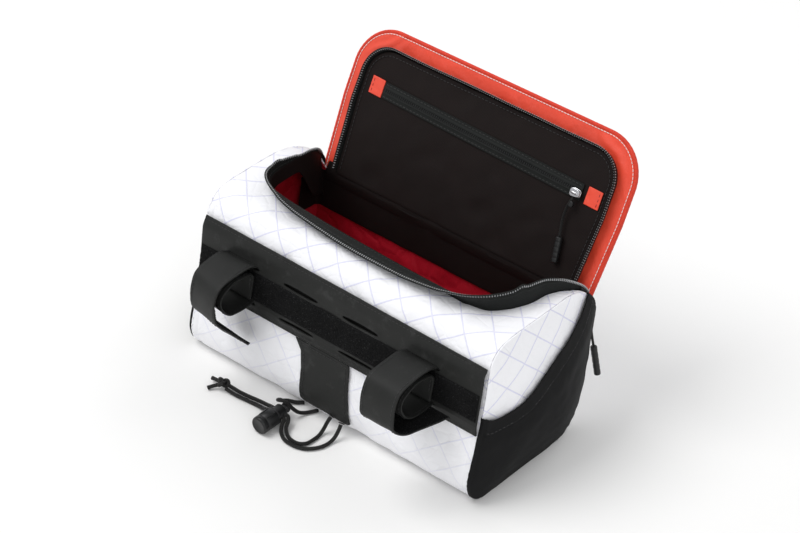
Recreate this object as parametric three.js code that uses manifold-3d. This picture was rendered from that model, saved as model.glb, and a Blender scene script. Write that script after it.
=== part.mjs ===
// Handlebar bag standing on its base with the lid thrown open.
// Millimetres. +X runs along the bag to its right end, +Y to the hinged front, +Z up.
// The rear side (-Y) carries the black panel whose straps go round a handlebar.

import * as THREE from "three";
import { mergeVertices } from "three/addons/utils/BufferGeometryUtils.js";
import Module from "manifold-3d";

const wasm = await Module();
wasm.setup();

// Driving dimensions of the body
const BAG_LENGTH = 280; // end seam to end seam
const BAG_DEPTH = 144.5; // heel of the rear wall to the hinge line
const BAG_HEIGHT = 127; // floor to the top at the end seams
const END_BULGE = 10; // how far each end panel swells past its seam
const END_TAPER = 4; // how much shorter the bag is along the hinge than along the rear
const HINGE_Y = 62.5; // hinge line, from the plane that the tables are drawn about
const CLOTH = 1.6; // laminate cloth with its backing
const LINING = 1;
const GAP = 0.3; // between pieces that are sewn face to face
const HALF = BAG_LENGTH / 2;

// Opening and its zip tape
const COLLAR_HEIGHT = 15;
const COLLAR_ROOT = 5; // tape below the rim
const TAPE = 1.2;
const RIM_CLEAR = 1; // cloth edge to the middle of the tape
const HINGE_BAND_DROP = 29;
const HINGE_BAND_RETURN = 20;
const HINGE_BAND_CORNER = 0.965; // share of the half length at which the band turns the corner

// Lid
const LID_WIDTH = 274;
const LID_HINGE_WIDTH = 266;
const LID_HEIGHT = 123.5;
const LID_CORNER = 34;
const LID_ANGLE = 61.35; // degrees above +Y
const LID_BOW = 2; // how far the middle of the lid sags back
const LID_INSET = 13; // lid edge to the zip tape
const LID_TAPE_HEIGHT = 7;
const LID_TAPE_CORNER = 25;
const LID_TAPE_FLARE = 2;
const LID_POCKET_CLEAR = 1.2;
const LID_POCKET_LIFT = 2.4;
const LID_POCKET_FOOT = 1.5; // hinge line to the pocket's lower edge
const POCKET_ZIP_WIDTH = 13;
const POCKET_ZIP_LEFT = 79; // height of the zip's middle on the lid, left
const POCKET_ZIP_RIGHT = 72; // and right
const TAB_LENGTH = 13;
const TAB_WIDTH = 14;
const TAB_EDGE = { left: 9, right: 4.5 }; // tape to the tab's outer end

// Handlebar panel, its slots, straps and tongue
const PANEL_THICK = 1.4;
const PANEL_STANDOFF = 2.4; // room for a strap behind the panel
const PANEL_SEAM = 0.5; // panel to cloth along its sewn edges
const SLOT_LENGTH = 35;
const SLOT_HEIGHT = 5;
const SLOT_PITCH = 60;
const SLOT_COLUMNS = [-1.6, -0.6, 0.4, 1.4]; // in pitches from the middle of the bag
const SLOT_UPPER = 0.33; // share of the panel's height, from its top edge
const SLOT_LOWER = 0.84;
const LOOP_STRIP_WIDTH = 22;
const LOOP_STRIP_THICK = 1.2;
const STRAP_WIDTH = 32;
const STRAP_THICK = 1.6;
const STRAP_REACH = 49; // cloth to the far side of a closed strap
const STRAP_TURN = { left: 0.2, right: 0 }; // how much shorter the loop's reach is at the left edge
const STRAP_FLAT = 0.23; // share of the reach within which the strap lies square on the panel
const STRAP_DROP = 56; // height of the strap's whole loop
const TONGUE_WIDTH = 46;
const TONGUE_FOOT = 0.45; // outline rows that the tongue reaches past the heel

// Side pockets
const POCKET_THICK = 1.2;
const POCKET_HEM = 12;
const POCKET_HEM_FULL = 1.7; // the hem's thickness in pocket thicknesses
const POCKET_INSIDE = 0.985; // the pocket's outline as a share of the end panel's
const POCKET_SWELL = 3;
const POCKET_EASE = 0.9; // end panel to pocket

// Zip pulls and shock cord
const PULL_CORD = 2;
const GRIP_DIAMETER = 5.2;
const MAIN_GRIP_LENGTH = 25;
const POCKET_GRIP_LENGTH = 20;
const SLIDER = { length: 9, width: 7, height: 4 };
const SLIDER_NOSE = { long: 2, wide: 1.6 }; // corners cut off its front end
const SLIDER_TAIL = 1; // how much narrower its rear end is on each side
const MAIN_SLIDER_IN = 6.6; // lid's edge at the hinge to the slider's middle
const MAIN_SLIDER_OUT = 2.3; // in front of the hinge line
const MAIN_SLIDER_DROP = 6.06; // below the hinge line
const CORD = 3;
const KNOT = 8.4;
const LOCK_DIAMETER = 14.4;
const LOCK_LENGTH = 18;
const LOCK_NECK = 11.6;
const LOCK_NECK_LENGTH = 8;
const LOCK_BUTTON = 8.4;
const LOCK_BUTTON_LENGTH = 5;

// Materials
const finish = (color, roughness, metalness = 0) =>
  new THREE.MeshStandardMaterial({ color, roughness, metalness });
const WHITE = () => finish(0xf2f2f4, 0.55);
const RED = () => finish(0xb3122c, 0.7);
const ORANGE = () => finish(0xe8502f, 0.7);
const BLACK = () => finish(0x26262a, 0.75);
const MESH_BLACK = () => finish(0x1c1a1c, 0.85);
const METAL = () => finish(0xc8c8cc, 0.25, 1);

// Body outline at the end seams, from the rear shoulder down, under the base and up the front.
// y is a share of BAG_DEPTH from the heel, z a share of BAG_HEIGHT.
const OUTLINE = [
  { name: "shoulder_top", y: 0.249, z: 0.984 },
  { name: "shoulder", y: 0.187, z: 0.937 },
  { name: "panel_top", y: 0.156, z: 0.874 },
  { name: "panel_middle", y: 0.118, z: 0.661 },
  { name: "panel_foot", y: 0.076, z: 0.449 },
  { name: "haunch", y: 0.021, z: 0.252 },
  { name: "heel", y: 0, z: 0.134 },
  { name: "heel_low", y: 0.028, z: 0.039 },
  { name: "base_rear", y: 0.111, z: 0 },
  { name: "base_middle", y: 0.429, z: 0 },
  { name: "base_front", y: 0.72, z: 0 },
  { name: "toe", y: 0.83, z: 0.055 },
  { name: "toe_up", y: 0.9, z: 0.173 },
  { name: "front_low", y: 0.948, z: 0.378 },
  { name: "front_middle", y: 0.979, z: 0.598 },
  { name: "hinge", y: 1, z: 0.78 },
  { name: "brow", y: 0.969, z: 0.866 },
  { name: "brow_top", y: 0.893, z: 0.937 },
  { name: "top_front", y: 0.761, z: 0.988 },
  { name: "top_middle", y: 0.498, z: 1 },
];
const indexOf = (name) => OUTLINE.findIndex((row) => row.name === name);
const PANEL_TOP = indexOf("panel_top");
const PANEL_FOOT = indexOf("panel_foot");
const HEEL = indexOf("heel");
const HINGE = indexOf("hinge");
const HINGE_Z = OUTLINE[HINGE].z * BAG_HEIGHT;

// Rim of the opening seen from above. x is a share of the half length, y of the depth
// from the heel; lean is the tape's slope away from upright, outwards, in degrees;
// high is the share of COLLAR_HEIGHT that the tape stands.
const RIM = [
  { x: -0.95, y: 0.985, lean: 0, high: 0.1 },
  { x: -0.88, y: 0.83, lean: -4, high: 0.12 },
  { x: -0.865, y: 0.7, lean: 0, high: 0.18 },
  { x: -0.862, y: 0.59, lean: 0, high: 0.4 },
  { x: -0.85, y: 0.5, lean: 4, high: 0.55 },
  { x: -0.812, y: 0.437, lean: 16, high: 0.68 },
  { x: -0.74, y: 0.4, lean: 34, high: 0.8 },
  { x: -0.6, y: 0.383, lean: 58, high: 0.95 },
  { x: -0.3, y: 0.368, lean: 76, high: 1 },
  { x: 0, y: 0.362, lean: 82, high: 1 },
  { x: 0.3, y: 0.362, lean: 78, high: 1 },
  { x: 0.53, y: 0.367, lean: 60, high: 1 },
  { x: 0.69, y: 0.375, lean: 36, high: 1 },
  { x: 0.78, y: 0.41, lean: 18, high: 1 },
  { x: 0.85, y: 0.49, lean: 6, high: 1 },
  { x: 0.885, y: 0.57, lean: 0, high: 1 },
  { x: 0.903, y: 0.69, lean: 0, high: 0.85 },
  { x: 0.928, y: 0.79, lean: 0, high: 0.6 },
  { x: 0.95, y: 0.88, lean: 0, high: 0.3 },
  { x: 0.957, y: 0.985, lean: 0, high: 0.1 },
];

// Side pocket's hem across the end panel, as shares of the depth and height
const HEM = [
  { y: 0.1, z: 0.567 },
  { y: 0.142, z: 0.543 },
  { y: 0.228, z: 0.546 },
  { y: 0.332, z: 0.569 },
  { y: 0.453, z: 0.644 },
  { y: 0.588, z: 0.724 },
  { y: 0.724, z: 0.785 },
  { y: 0.84, z: 0.845 },
  { y: 0.93, z: 0.902 },
];
const HEM_REAR = 3.45; // where the hem meets the outline, in outline rows
const HEM_FRONT = 16.5;

// Strap seen from its end: out is a share of STRAP_REACH from the cloth, down a share of
// STRAP_DROP from the panel's top edge, skew a share of the strap's width along +X.
const STRAP_INNER_TURN = [
  { out: 0.178, down: 0.785, skew: 0 },
  { out: 0.168, down: 0.571, skew: 0 },
  { out: 0.172, down: 0.446, skew: 0 },
  { out: 0.215, down: 0.402, skew: 0 },
  { out: 0.408, down: 0.393, skew: 0 },
  { out: 0.584, down: 0.42, skew: 0 },
  { out: 0.727, down: 0.493, skew: 0 },
  { out: 0.829, down: 0.589, skew: 0 },
  { out: 0.837, down: 0.705, skew: 0 },
  { out: 0.735, down: 0.839, skew: 0 },
  { out: 0.602, down: 0.907, skew: 0 },
  { out: 0.48, down: 0.916, skew: 0 },
  { out: 0.245, down: 0.884, skew: 0 },
  { out: 0.12, down: 0.85, skew: 0 },
  { out: 0.062, down: 0.838, skew: 0 },
  { out: 0.03, down: 0.79, skew: 0 },
];
const STRAP_OUTER_TURN = [
  { out: 0.028, down: 0.6, skew: 0 },
  { out: 0.028, down: 0.4, skew: 0 },
  { out: 0.042, down: 0.345, skew: 0 },
  { out: 0.075, down: 0.325, skew: 0 },
  { out: 0.13, down: 0.305, skew: 0 },
  { out: 0.25, down: 0.277, skew: 0 },
  { out: 0.551, down: 0.321, skew: 0 },
  { out: 0.91, down: 0.45, skew: 0 },
  { out: 0.992, down: 0.634, skew: 0 },
];
const STRAP_TAILS = {
  left: [
    { out: 0.975, down: 0.8, skew: 0 },
    { out: 0.905, down: 0.95, skew: 0 },
    { out: 0.8, down: 1.03, skew: 0.02 },
    { out: 0.65, down: 1.125, skew: 0.06 },
    { out: 0.408, down: 1.3, skew: 0.12 },
    { out: 0.17, down: 1.46, skew: 0.18 },
  ],
  right: [
    { out: 0.99, down: 0.82, skew: 0 },
    { out: 0.953, down: 0.971, skew: 0 },
    { out: 0.86, down: 1.07, skew: 0.02 },
    { out: 0.7, down: 1.13, skew: 0.1 },
    { out: 0.52, down: 1.15, skew: 0.24 },
    { out: 0.34, down: 1.13, skew: 0.42 },
    { out: 0.19, down: 1.07, skew: 0.58 },
  ],
};

// Tongue from the panel's foot to its own foot. left and right are its edges from the middle
// of the bag, as shares of TONGUE_WIDTH.
const TONGUE = [
  { down: 0, left: -0.82, right: 0.36 },
  { down: 0.12, left: -0.66, right: 0.4 },
  { down: 0.32, left: -0.58, right: 0.45 },
  { down: 0.5, left: -0.56, right: 0.5 },
  { down: 0.62, left: -0.55, right: 0.53 },
  { down: 0.74, left: -0.54, right: 0.55 },
  { down: 0.84, left: -0.53, right: 0.57 },
  { down: 0.93, left: -0.53, right: 0.58 },
  { down: 1, left: -0.45, right: 0.52 },
];

// Cord routes, hand chosen points along the middle of each cord
const LOCK_PLACE = [-28, -116, 7.5]; // middle of the barrel, whose axis runs along Y
const LACE_INNER = [
  [-21.2, -101.2, 7.5], [-19, -101.9, 7.3], [-16.6, -104.6, 6.2], [-14, -109.5, 4],
  [-8, -113.8, 1.8], [-1.7, -115.2, 1.7], [4, -114.2, 1.7], [7.6, -110.6, 1.7],
  [8.6, -104.5, 1.7], [8.2, -97, 1.7], [7.8, -92, 4], [8.4, -88.4, 8.8], [9, -85.1, 12.2],
];
const LACE_OUTER = [
  [-21.2, -104.9, 7.5], [-19.4, -105.8, 6.9], [-18, -109.4, 5.6], [-14.5, -114.5, 3.4],
  [-8.5, -117.9, 1.8], [-1.8, -118.9, 1.7], [5, -118.2, 1.7], [11.4, -115.4, 1.7],
  [15.8, -111, 1.7], [19, -105, 1.7], [20, -98, 1.8], [20.2, -93, 3.6], [20, -88.8, 7], [19.4, -85.2, 10.6],
];
const TOGGLE_LOOP = [
  [-26.5, -76.2, 1.8], [-31.5, -80.4, 2], [-36.6, -84, 3], [-37.6, -90, 6.2], [-35.8, -95.4, 11],
  [-31, -97, 14.5], [-25.5, -96.4, 14.2], [-21, -94.4, 9.6], [-19.4, -90, 4.4], [-17.2, -85, 2.2],
  [-15.6, -81.8, 1.8], [-12.4, -76.2, 1.8],
];
const TAIL_UPPER = [
  [-34.6, -101.2, 7.5], [-38.5, -100.2, 6.2], [-44, -99, 4.2], [-52, -98.6, 3], [-62, -99.6, 2.6],
  [-72, -100.6, 2.8], [-81.5, -101.4, 4],
];
const TAIL_LOWER = [
  [-34.6, -104.9, 7.3], [-38.5, -104.2, 5.4], [-44, -103, 3], [-52, -102.4, 1.8], [-62, -103.4, 1.7],
  [-72, -104.4, 1.8], [-81.8, -105, 3],
];
const KNOT_PLACE = [-86.2, -103.2, 4.2];
const KNOT_STUBS = [[-98.6, -102.4, 3], [-94, -112.4, 1.8]];
// Main pull, from the middle of its slider
const MAIN_PULL_ROUTE = [
  [5.4, 1.6, -0.8], [7.8, 2, -2.6], [9, 2, -7], [7.8, 1.8, -12],
  [7, 1.6, -17], [8.4, 1.6, -27], [10.2, 1.6, -35],
];
const MAIN_GRIP_FOOT = [15.4, 1.6, -60];
// Pocket pull on the lid: across from the zip's right end, up from the zip's middle there,
// and out from the pocket
const POCKET_PULL_ROUTE = [
  [-3.6, -4.5, 4.2], [-5.1, -9.5, 4.4], [-6.5, -16, 3.4], [-6.3, -24, 3], [-4.9, -31, 3], [-3.9, -35.5, 3],
];
const POCKET_GRIP_FOOT = [-1.5, -51];

// Closed bodies from grids of points

// Joins equal points, drops faces that have shrunk to a line and turns the body to face out.
function closedBody(points, faces) {
  const raw = new THREE.BufferGeometry();
  raw.setAttribute("position", new THREE.Float32BufferAttribute(points.flatMap((p) => [p.x, p.y, p.z]), 3));
  raw.setIndex(faces);
  const body = mergeVertices(raw, 1e-3);
  const index = body.index.array;
  const at = (i) => new THREE.Vector3().fromBufferAttribute(body.attributes.position, i);
  const kept = [];
  let volume = 0;
  for (let i = 0; i < index.length; i += 3) {
    const [a, b, c] = [index[i], index[i + 1], index[i + 2]];
    if (a === b || b === c || c === a) continue;
    kept.push([a, b, c]);
    volume += at(a).dot(at(b).cross(at(c)));
  }
  body.setIndex(kept.flatMap(([a, b, c]) => (volume < 0 ? [a, c, b] : [a, b, c])));
  body.computeVertexNormals();
  return body;
}

// A wall between two grids of points with the same rows and columns. Around, the last
// column meets the first and only the row ends are closed.
function slab(front, back, around = false) {
  const rows = front.length;
  const columns = front[0].length;
  const points = [...front.flat(), ...back.flat()];
  const at = (side, i, j) => (side * rows + i) * columns + (j % columns);
  const faces = [];
  const quad = (a, b, c, d) => faces.push(a, b, c, a, c, d);
  const spans = around ? columns : columns - 1;
  for (let j = 0; j < spans; j += 1) {
    for (let i = 0; i < rows - 1; i += 1) {
      quad(at(0, i, j), at(0, i + 1, j), at(0, i + 1, j + 1), at(0, i, j + 1));
      quad(at(1, i, j), at(1, i, j + 1), at(1, i + 1, j + 1), at(1, i + 1, j));
    }
    quad(at(0, 0, j), at(0, 0, j + 1), at(1, 0, j + 1), at(1, 0, j));
    quad(at(0, rows - 1, j), at(1, rows - 1, j), at(1, rows - 1, j + 1), at(0, rows - 1, j + 1));
  }
  if (!around) {
    for (let i = 0; i < rows - 1; i += 1) {
      const last = columns - 1;
      quad(at(0, i, 0), at(1, i, 0), at(1, i + 1, 0), at(0, i + 1, 0));
      quad(at(0, i, last), at(0, i + 1, last), at(1, i + 1, last), at(1, i, last));
    }
  }
  return closedBody(points, faces);
}

// A skin round rings of points whose first and last ring have shrunk to a point
function balloon(rings) {
  const columns = rings[0].length;
  const faces = [];
  for (let i = 0; i < rings.length - 1; i += 1) {
    for (let j = 0; j < columns; j += 1) {
      const [a, b] = [i * columns + j, i * columns + ((j + 1) % columns)];
      faces.push(a, a + columns, b + columns, a, b + columns, b);
    }
  }
  return closedBody(rings.flat(), faces);
}

const spaced = (from, to, steps) =>
  Array.from({ length: steps + 1 }, (_, i) => from + ((to - from) * i) / steps);
const grid = (rows, columns, point) => rows.map((r) => columns.map((c) => point(r, c)));
const mix = (a, b, t) => a + (b - a) * t;
const smooth = (from, to, v) => THREE.MathUtils.smoothstep(v, from, to);
const vec = (x, y, z) => new THREE.Vector3(x, y, z);

// A smooth curve through a table's rows, with up to three named columns as its coordinates
function through(table, [a, b, c], closed = false) {
  const points = table.map((row) => vec(row[a], row[b], c ? row[c] : 0));
  return new THREE.CatmullRomCurve3(points, closed, "centripetal");
}

// Cuts and joins
function toSolid(geometry) {
  const bare = geometry.clone();
  bare.deleteAttribute("normal");
  bare.deleteAttribute("uv");
  const merged = mergeVertices(bare, 1e-4);
  const vertProperties = new Float32Array(merged.attributes.position.array);
  const triVerts = new Uint32Array(merged.index.array);
  return new wasm.Manifold(new wasm.Mesh({ numProp: 3, vertProperties, triVerts }));
}

function toGeometry(solid) {
  const { numProp, vertProperties, triVerts } = solid.getMesh();
  const points = [];
  for (let i = 0; i < vertProperties.length; i += numProp) {
    points.push(vec(vertProperties[i], vertProperties[i + 1], vertProperties[i + 2]));
  }
  return closedBody(points, Array.from(triVerts));
}

const cut = (geometry, ...tools) =>
  toGeometry(tools.reduce((solid, tool) => solid.subtract(toSolid(tool)), toSolid(geometry)));
const join = (...geometries) => toGeometry(geometries.map(toSolid).reduce((a, b) => a.add(b)));

// Body surface: s runs from -1 at the left end to 1 at the right, k counts rows of the
// outline, off is the distance outside the cloth's outer face, inset shortens the bag.
const LIFT = [0.055, 0.046, 0.034, 0.018, 0]; // extra height of the top from left to right, as a share
const LIFT_FADE = 4;
const OUTLINE_STEPS = 2 * OUTLINE.length;
const AROUND = spaced(0, OUTLINE.length, OUTLINE_STEPS).slice(0, -1);
const ALONG = spaced(-1, 1, 6);
const HEEL_Y = HINGE_Y - BAG_DEPTH;
const END_MIDDLE = { y: HEEL_Y + 0.512 * BAG_DEPTH, z: 0.472 * BAG_HEIGHT };
const outlineCurve = through(
  OUTLINE.map((row) => ({ y: HEEL_Y + row.y * BAG_DEPTH, z: row.z * BAG_HEIGHT })),
  ["y", "z"],
  true,
);
const taper = (y) => END_TAPER * smooth(0.6, 1, (y - HEEL_Y) / BAG_DEPTH);

function liftAt(s) {
  const place = ((s + 1) / 2) * (LIFT.length - 1);
  const i = Math.min(LIFT.length - 2, Math.floor(place));
  return mix(LIFT[i], LIFT[i + 1], place - i);
}

// Height with the top's lift, which fades out down the sides
const lifted = (z, s) => z * (1 + liftAt(s) * Math.pow(z / BAG_HEIGHT, LIFT_FADE));

function outlinePoint(k, off = 0) {
  const t = THREE.MathUtils.euclideanModulo(k / OUTLINE.length, 1);
  const p = outlineCurve.getPoint(t);
  const tangent = outlineCurve.getTangent(t);
  return { y: p.x + off * tangent.y, z: Math.max(p.y, 0) - off * tangent.x };
}

function bodyPoint(s, k, off = 0, inset = 0) {
  const { y, z } = outlinePoint(k, off);
  return vec(s * (HALF - taper(y) - inset), y, lifted(z, s));
}

// End panel: rho runs from 0 in its middle to 1 at the seam, beyond is how far the face
// stands past the seam.
function endPoint(side, k, rho, off, beyond) {
  const edge = outlinePoint(k, off);
  const y = mix(END_MIDDLE.y, edge.y, rho);
  const z = mix(END_MIDDLE.z, edge.z, rho);
  const x = HALF - taper(y) + beyond + END_BULGE * (1 - rho * rho);
  return vec(side * x, y, lifted(z, side));
}

// Height of the end panel's face at any y and z of its seam's plane
const RADII = spaced(0, OUTLINE.length, 240).map((k) => {
  const p = outlinePoint(k);
  const [dy, dz] = [p.y - END_MIDDLE.y, p.z - END_MIDDLE.z];
  return { angle: Math.atan2(dz, dy), radius: Math.hypot(dy, dz) };
});
RADII.sort((a, b) => a.angle - b.angle);

function endFace(y, z) {
  const [dy, dz] = [y - END_MIDDLE.y, z - END_MIDDLE.z];
  const angle = Math.atan2(dz, dy);
  const after = RADII.find((row) => row.angle >= angle) ?? RADII[0];
  const rho = Math.min(1, Math.hypot(dy, dz) / after.radius);
  return HALF - taper(y) + GAP / 2 + CLOTH + END_BULGE * (1 - rho * rho);
}

// Height of the top seen from above, between the hinge and the rear shoulder
const TOP = spaced(HINGE, OUTLINE.length + 1, 60).map((k) => outlinePoint(k));
function topAt(x, y) {
  const next = Math.max(1, TOP.findIndex((p) => p.y <= y));
  const [a, b] = [TOP[next - 1], TOP[next]];
  const z = mix(a.z, b.z, THREE.MathUtils.clamp((y - a.y) / (b.y - a.y), 0, 1));
  return lifted(z, x / HALF);
}

// Rim of the opening, t from 0 at the left of the hinge round to 1 at its right
const rimCurve = through(
  RIM.map((row) => ({ x: row.x * HALF, y: HEEL_Y + row.y * BAG_DEPTH })),
  ["x", "y"],
);
const leanCurve = through(RIM, ["lean", "high"]);

function rimAt(t, outwards = 0) {
  const p = rimCurve.getPoint(t);
  const tangent = rimCurve.getTangent(t);
  const out = vec(tangent.y, -tangent.x, 0).normalize();
  const edge = vec(p.x, p.y, 0).addScaledVector(out, outwards);
  return { place: vec(p.x, p.y, topAt(p.x, p.y)), out, edge };
}

function openingCutter() {
  const front = HINGE_Y + BAG_DEPTH / 4;
  const shape = new THREE.Shape(
    spaced(0, 1, 44).map((t) => {
      const { edge } = rimAt(t, RIM_CLEAR);
      return new THREE.Vector2(edge.x, edge.y);
    }),
  );
  shape.lineTo(rimAt(1, RIM_CLEAR).edge.x, front);
  shape.lineTo(rimAt(0, RIM_CLEAR).edge.x, front);
  const tool = new THREE.ExtrudeGeometry(shape, { depth: BAG_HEIGHT, bevelEnabled: false });
  tool.translate(0, 0, HINGE_Z);
  tool.setIndex(Array.from({ length: tool.attributes.position.count }, (_, i) => i));
  return tool;
}

function bodyWrap() {
  const inset = GAP / 2;
  const outer = grid(ALONG, AROUND, (s, k) => bodyPoint(s, k, 0, inset));
  const inner = grid(ALONG, AROUND, (s, k) => bodyPoint(s, k, -CLOTH, inset));
  return cut(slab(outer, inner, true), openingCutter());
}

const END_RINGS = [0, 0.4, 0.74, 1];
function endPanel(side) {
  const face = (beyond) => grid(END_RINGS, AROUND, (rho, k) => endPoint(side, k, rho, 0, beyond));
  return slab(face(GAP / 2 + CLOTH), face(GAP / 2), true);
}

function innerBag(off, inset) {
  const cap = (side, rhos) => grid(rhos, AROUND, (rho, k) => endPoint(side, k, rho, off, -inset));
  const rhos = END_RINGS.slice(0, -1);
  return balloon([
    ...cap(-1, rhos),
    ...grid(ALONG, AROUND, (s, k) => bodyPoint(s, k, off, inset)),
    ...cap(1, [...rhos].reverse()),
  ]);
}

function lining() {
  const off = -(CLOTH + GAP);
  return cut(innerBag(off, GAP), innerBag(off - LINING, GAP + LINING), openingCutter());
}

// Zip tape of the opening: a band that stands on the rim and falls outwards by its lean
function openingTape() {
  const rise = RIM_CLEAR + 0.8;
  const band = spaced(0, 1, 40).map((t) => {
    const { place, out } = rimAt(t);
    const { x: lean, y: high } = leanCurve.getPoint(t);
    const up = vec(0, 0, 1);
    const slope = (degrees) => {
      const a = THREE.MathUtils.degToRad(degrees);
      return vec(0, 0, 0).addScaledVector(out, Math.sin(a)).addScaledVector(up, Math.cos(a));
    };
    const root = place.clone().addScaledVector(up, -COLLAR_ROOT * high);
    const rim = place.clone().addScaledVector(up, rise);
    const half = rim.clone().addScaledVector(slope(lean * 0.85), (COLLAR_HEIGHT * high) / 2);
    const top = half.clone().addScaledVector(slope(lean * 1.08), (COLLAR_HEIGHT * high) / 2);
    const across = [out, slope(90 + lean * 0.42), slope(90 + lean * 0.96), slope(90 + lean * 1.08)];
    return [root, rim, half, top].map((p, i) => ({ p, across: across[i] }));
  });
  const moved = ({ p, across }, side) => p.clone().addScaledVector(across, (side * TAPE) / 2);
  const face = (side) => band.map((row) => row.map((place) => moved(place, side)));
  return slab(face(1), face(-1));
}

// Black band inside the hinge that turns the corner on to both end walls
function hingeBand() {
  const depth = CLOTH + GAP + LINING + GAP;
  const top = HINGE - 0.05;
  const drop = HINGE_BAND_DROP / (outlinePoint(HINGE).z - outlinePoint(HINGE - 1).z);
  const levels = spaced(top, top - drop, 2);
  const returns = (side) => [1, 0.5, 0.12].map((share) => ({ side, share }));
  const along = spaced(-HINGE_BAND_CORNER, HINGE_BAND_CORNER, 8).map((s) => ({ s }));
  const rows = [...returns(-1), ...along, ...returns(1).reverse()];
  const wall = (lift) =>
    grid(rows, levels, (row, k) => {
      const off = -(depth + lift);
      if (row.side === undefined) return bodyPoint(row.s, k, off);
      const p = bodyPoint(row.side, k, off);
      const y = p.y - row.share * HINGE_BAND_RETURN;
      return vec(row.side * (HALF - taper(y) - GAP - LINING - GAP - lift), y, p.z);
    });
  return slab(wall(0), wall(LINING));
}

// Handlebar panel and what is fixed to it
const panelRow = (down) => mix(PANEL_TOP, PANEL_FOOT, down);
const standoff = (down) => PANEL_SEAM + PANEL_STANDOFF * Math.min(1, 6.5 * Math.min(down, 1 - down));
const PANEL_HEIGHT = Math.hypot(
  outlinePoint(PANEL_FOOT).y - outlinePoint(PANEL_TOP).y,
  outlinePoint(PANEL_FOOT).z - outlinePoint(PANEL_TOP).z,
);
const slotX = (column) => SLOT_COLUMNS[column] * SLOT_PITCH;

// The panel's own frame where a slot column crosses it: down along the panel, out from it
function panelFrame(x) {
  const top = bodyPoint(x / HALF, PANEL_TOP);
  const foot = bodyPoint(x / HALF, PANEL_FOOT);
  const down = foot.clone().sub(top).setX(0).normalize();
  const out = vec(0, down.z, -down.y);
  return (across, outwards, downwards) =>
    vec(across, top.y, top.z).addScaledVector(out, outwards).addScaledVector(down, downwards);
}

function handlebarPanel() {
  const downs = [0, 0.154, 0.3, 0.5, 0.7, 0.846, 1];
  const face = (lift) =>
    grid(ALONG, downs, (s, down) => bodyPoint(s, panelRow(down), standoff(down) + lift, GAP));
  const slots = SLOT_COLUMNS.flatMap((_, column) =>
    [SLOT_UPPER, SLOT_LOWER].map((share) => {
      const frame = panelFrame(slotX(column));
      const radius = SLOT_HEIGHT / 2;
      const shape = new THREE.Shape();
      shape.absarc(SLOT_LENGTH / 2 - radius, 0, radius, -Math.PI / 2, Math.PI / 2);
      shape.absarc(-SLOT_LENGTH / 2 + radius, 0, radius, Math.PI / 2, (3 * Math.PI) / 2);
      const through = { depth: 6 * PANEL_STANDOFF, bevelEnabled: false, curveSegments: 2 };
      const tool = new THREE.ExtrudeGeometry(shape, through);
      const origin = frame(slotX(column), 0, share * PANEL_HEIGHT);
      const out = frame(0, 1, 0).sub(frame(0, 0, 0));
      const up = frame(0, 0, -1).sub(frame(0, 0, 0));
      const placed = new THREE.Matrix4().makeBasis(vec(1, 0, 0), up, out.clone());
      tool.applyMatrix4(placed.setPosition(origin.addScaledVector(out, -PANEL_STANDOFF)));
      tool.setIndex(Array.from({ length: tool.attributes.position.count }, (_, i) => i));
      return tool;
    }),
  );
  return cut(slab(face(PANEL_THICK), face(0)), ...slots);
}

const STRIP_TOP = SLOT_UPPER + (SLOT_LOWER - SLOT_UPPER) / 2 - LOOP_STRIP_WIDTH / PANEL_HEIGHT / 2;
function loopStrip() {
  const downs = spaced(STRIP_TOP, STRIP_TOP + LOOP_STRIP_WIDTH / PANEL_HEIGHT, 2);
  const base = PANEL_THICK + GAP;
  const face = (lift) =>
    grid(ALONG, downs, (s, down) => bodyPoint(s, panelRow(down), standoff(down) + base + lift, 2 * GAP));
  return slab(face(LOOP_STRIP_THICK), face(0));
}

function strap(column, tail) {
  const x = slotX(column);
  const frame = panelFrame(x);
  const table = [...STRAP_INNER_TURN, ...STRAP_OUTER_TURN, ...STRAP_TAILS[tail]];
  const curve = through(table, ["out", "down", "skew"]);
  const steps = Math.round(1.6 * table.length);
  const rows = spaced(0, 1, steps).map((t) => {
    const ahead = curve.getPoint(Math.min(1, t + 0.002));
    const behind = curve.getPoint(Math.max(0, t - 0.002));
    const point = curve.getPoint(t);
    const go = new THREE.Vector2(ahead.x - behind.x, ahead.y - behind.y);
    go.multiply(new THREE.Vector2(STRAP_REACH, STRAP_DROP)).normalize();
    return { point, side: new THREE.Vector2(-go.y, go.x) };
  });
  // The loop turns: its left edge reaches less far out than its right by STRAP_TURN
  const turn = (out, share) => (0.5 - share) * STRAP_TURN[tail] * Math.max(0, out - STRAP_FLAT);
  const face = (half) =>
    rows.map(({ point, side }) =>
      [-0.5, 0.5].map((share) =>
        frame(
          x + (share + point.z) * STRAP_WIDTH,
          (point.x - turn(point.x, share)) * STRAP_REACH + side.x * half,
          point.y * STRAP_DROP + side.y * half,
        ),
      ),
    );
  return slab(face(STRAP_THICK / 2), face(-STRAP_THICK / 2));
}

function tongue() {
  const foot = HEEL + TONGUE_FOOT;
  const face = (lift) =>
    grid(TONGUE, spaced(0, 1, 3), ({ down, left, right }, across) => {
      const x = mix(left, right, across) * TONGUE_WIDTH;
      return bodyPoint(x / HALF, mix(PANEL_FOOT + 0.02, foot, down), PANEL_SEAM + lift);
    });
  return slab(face(PANEL_THICK), face(0));
}

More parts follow.
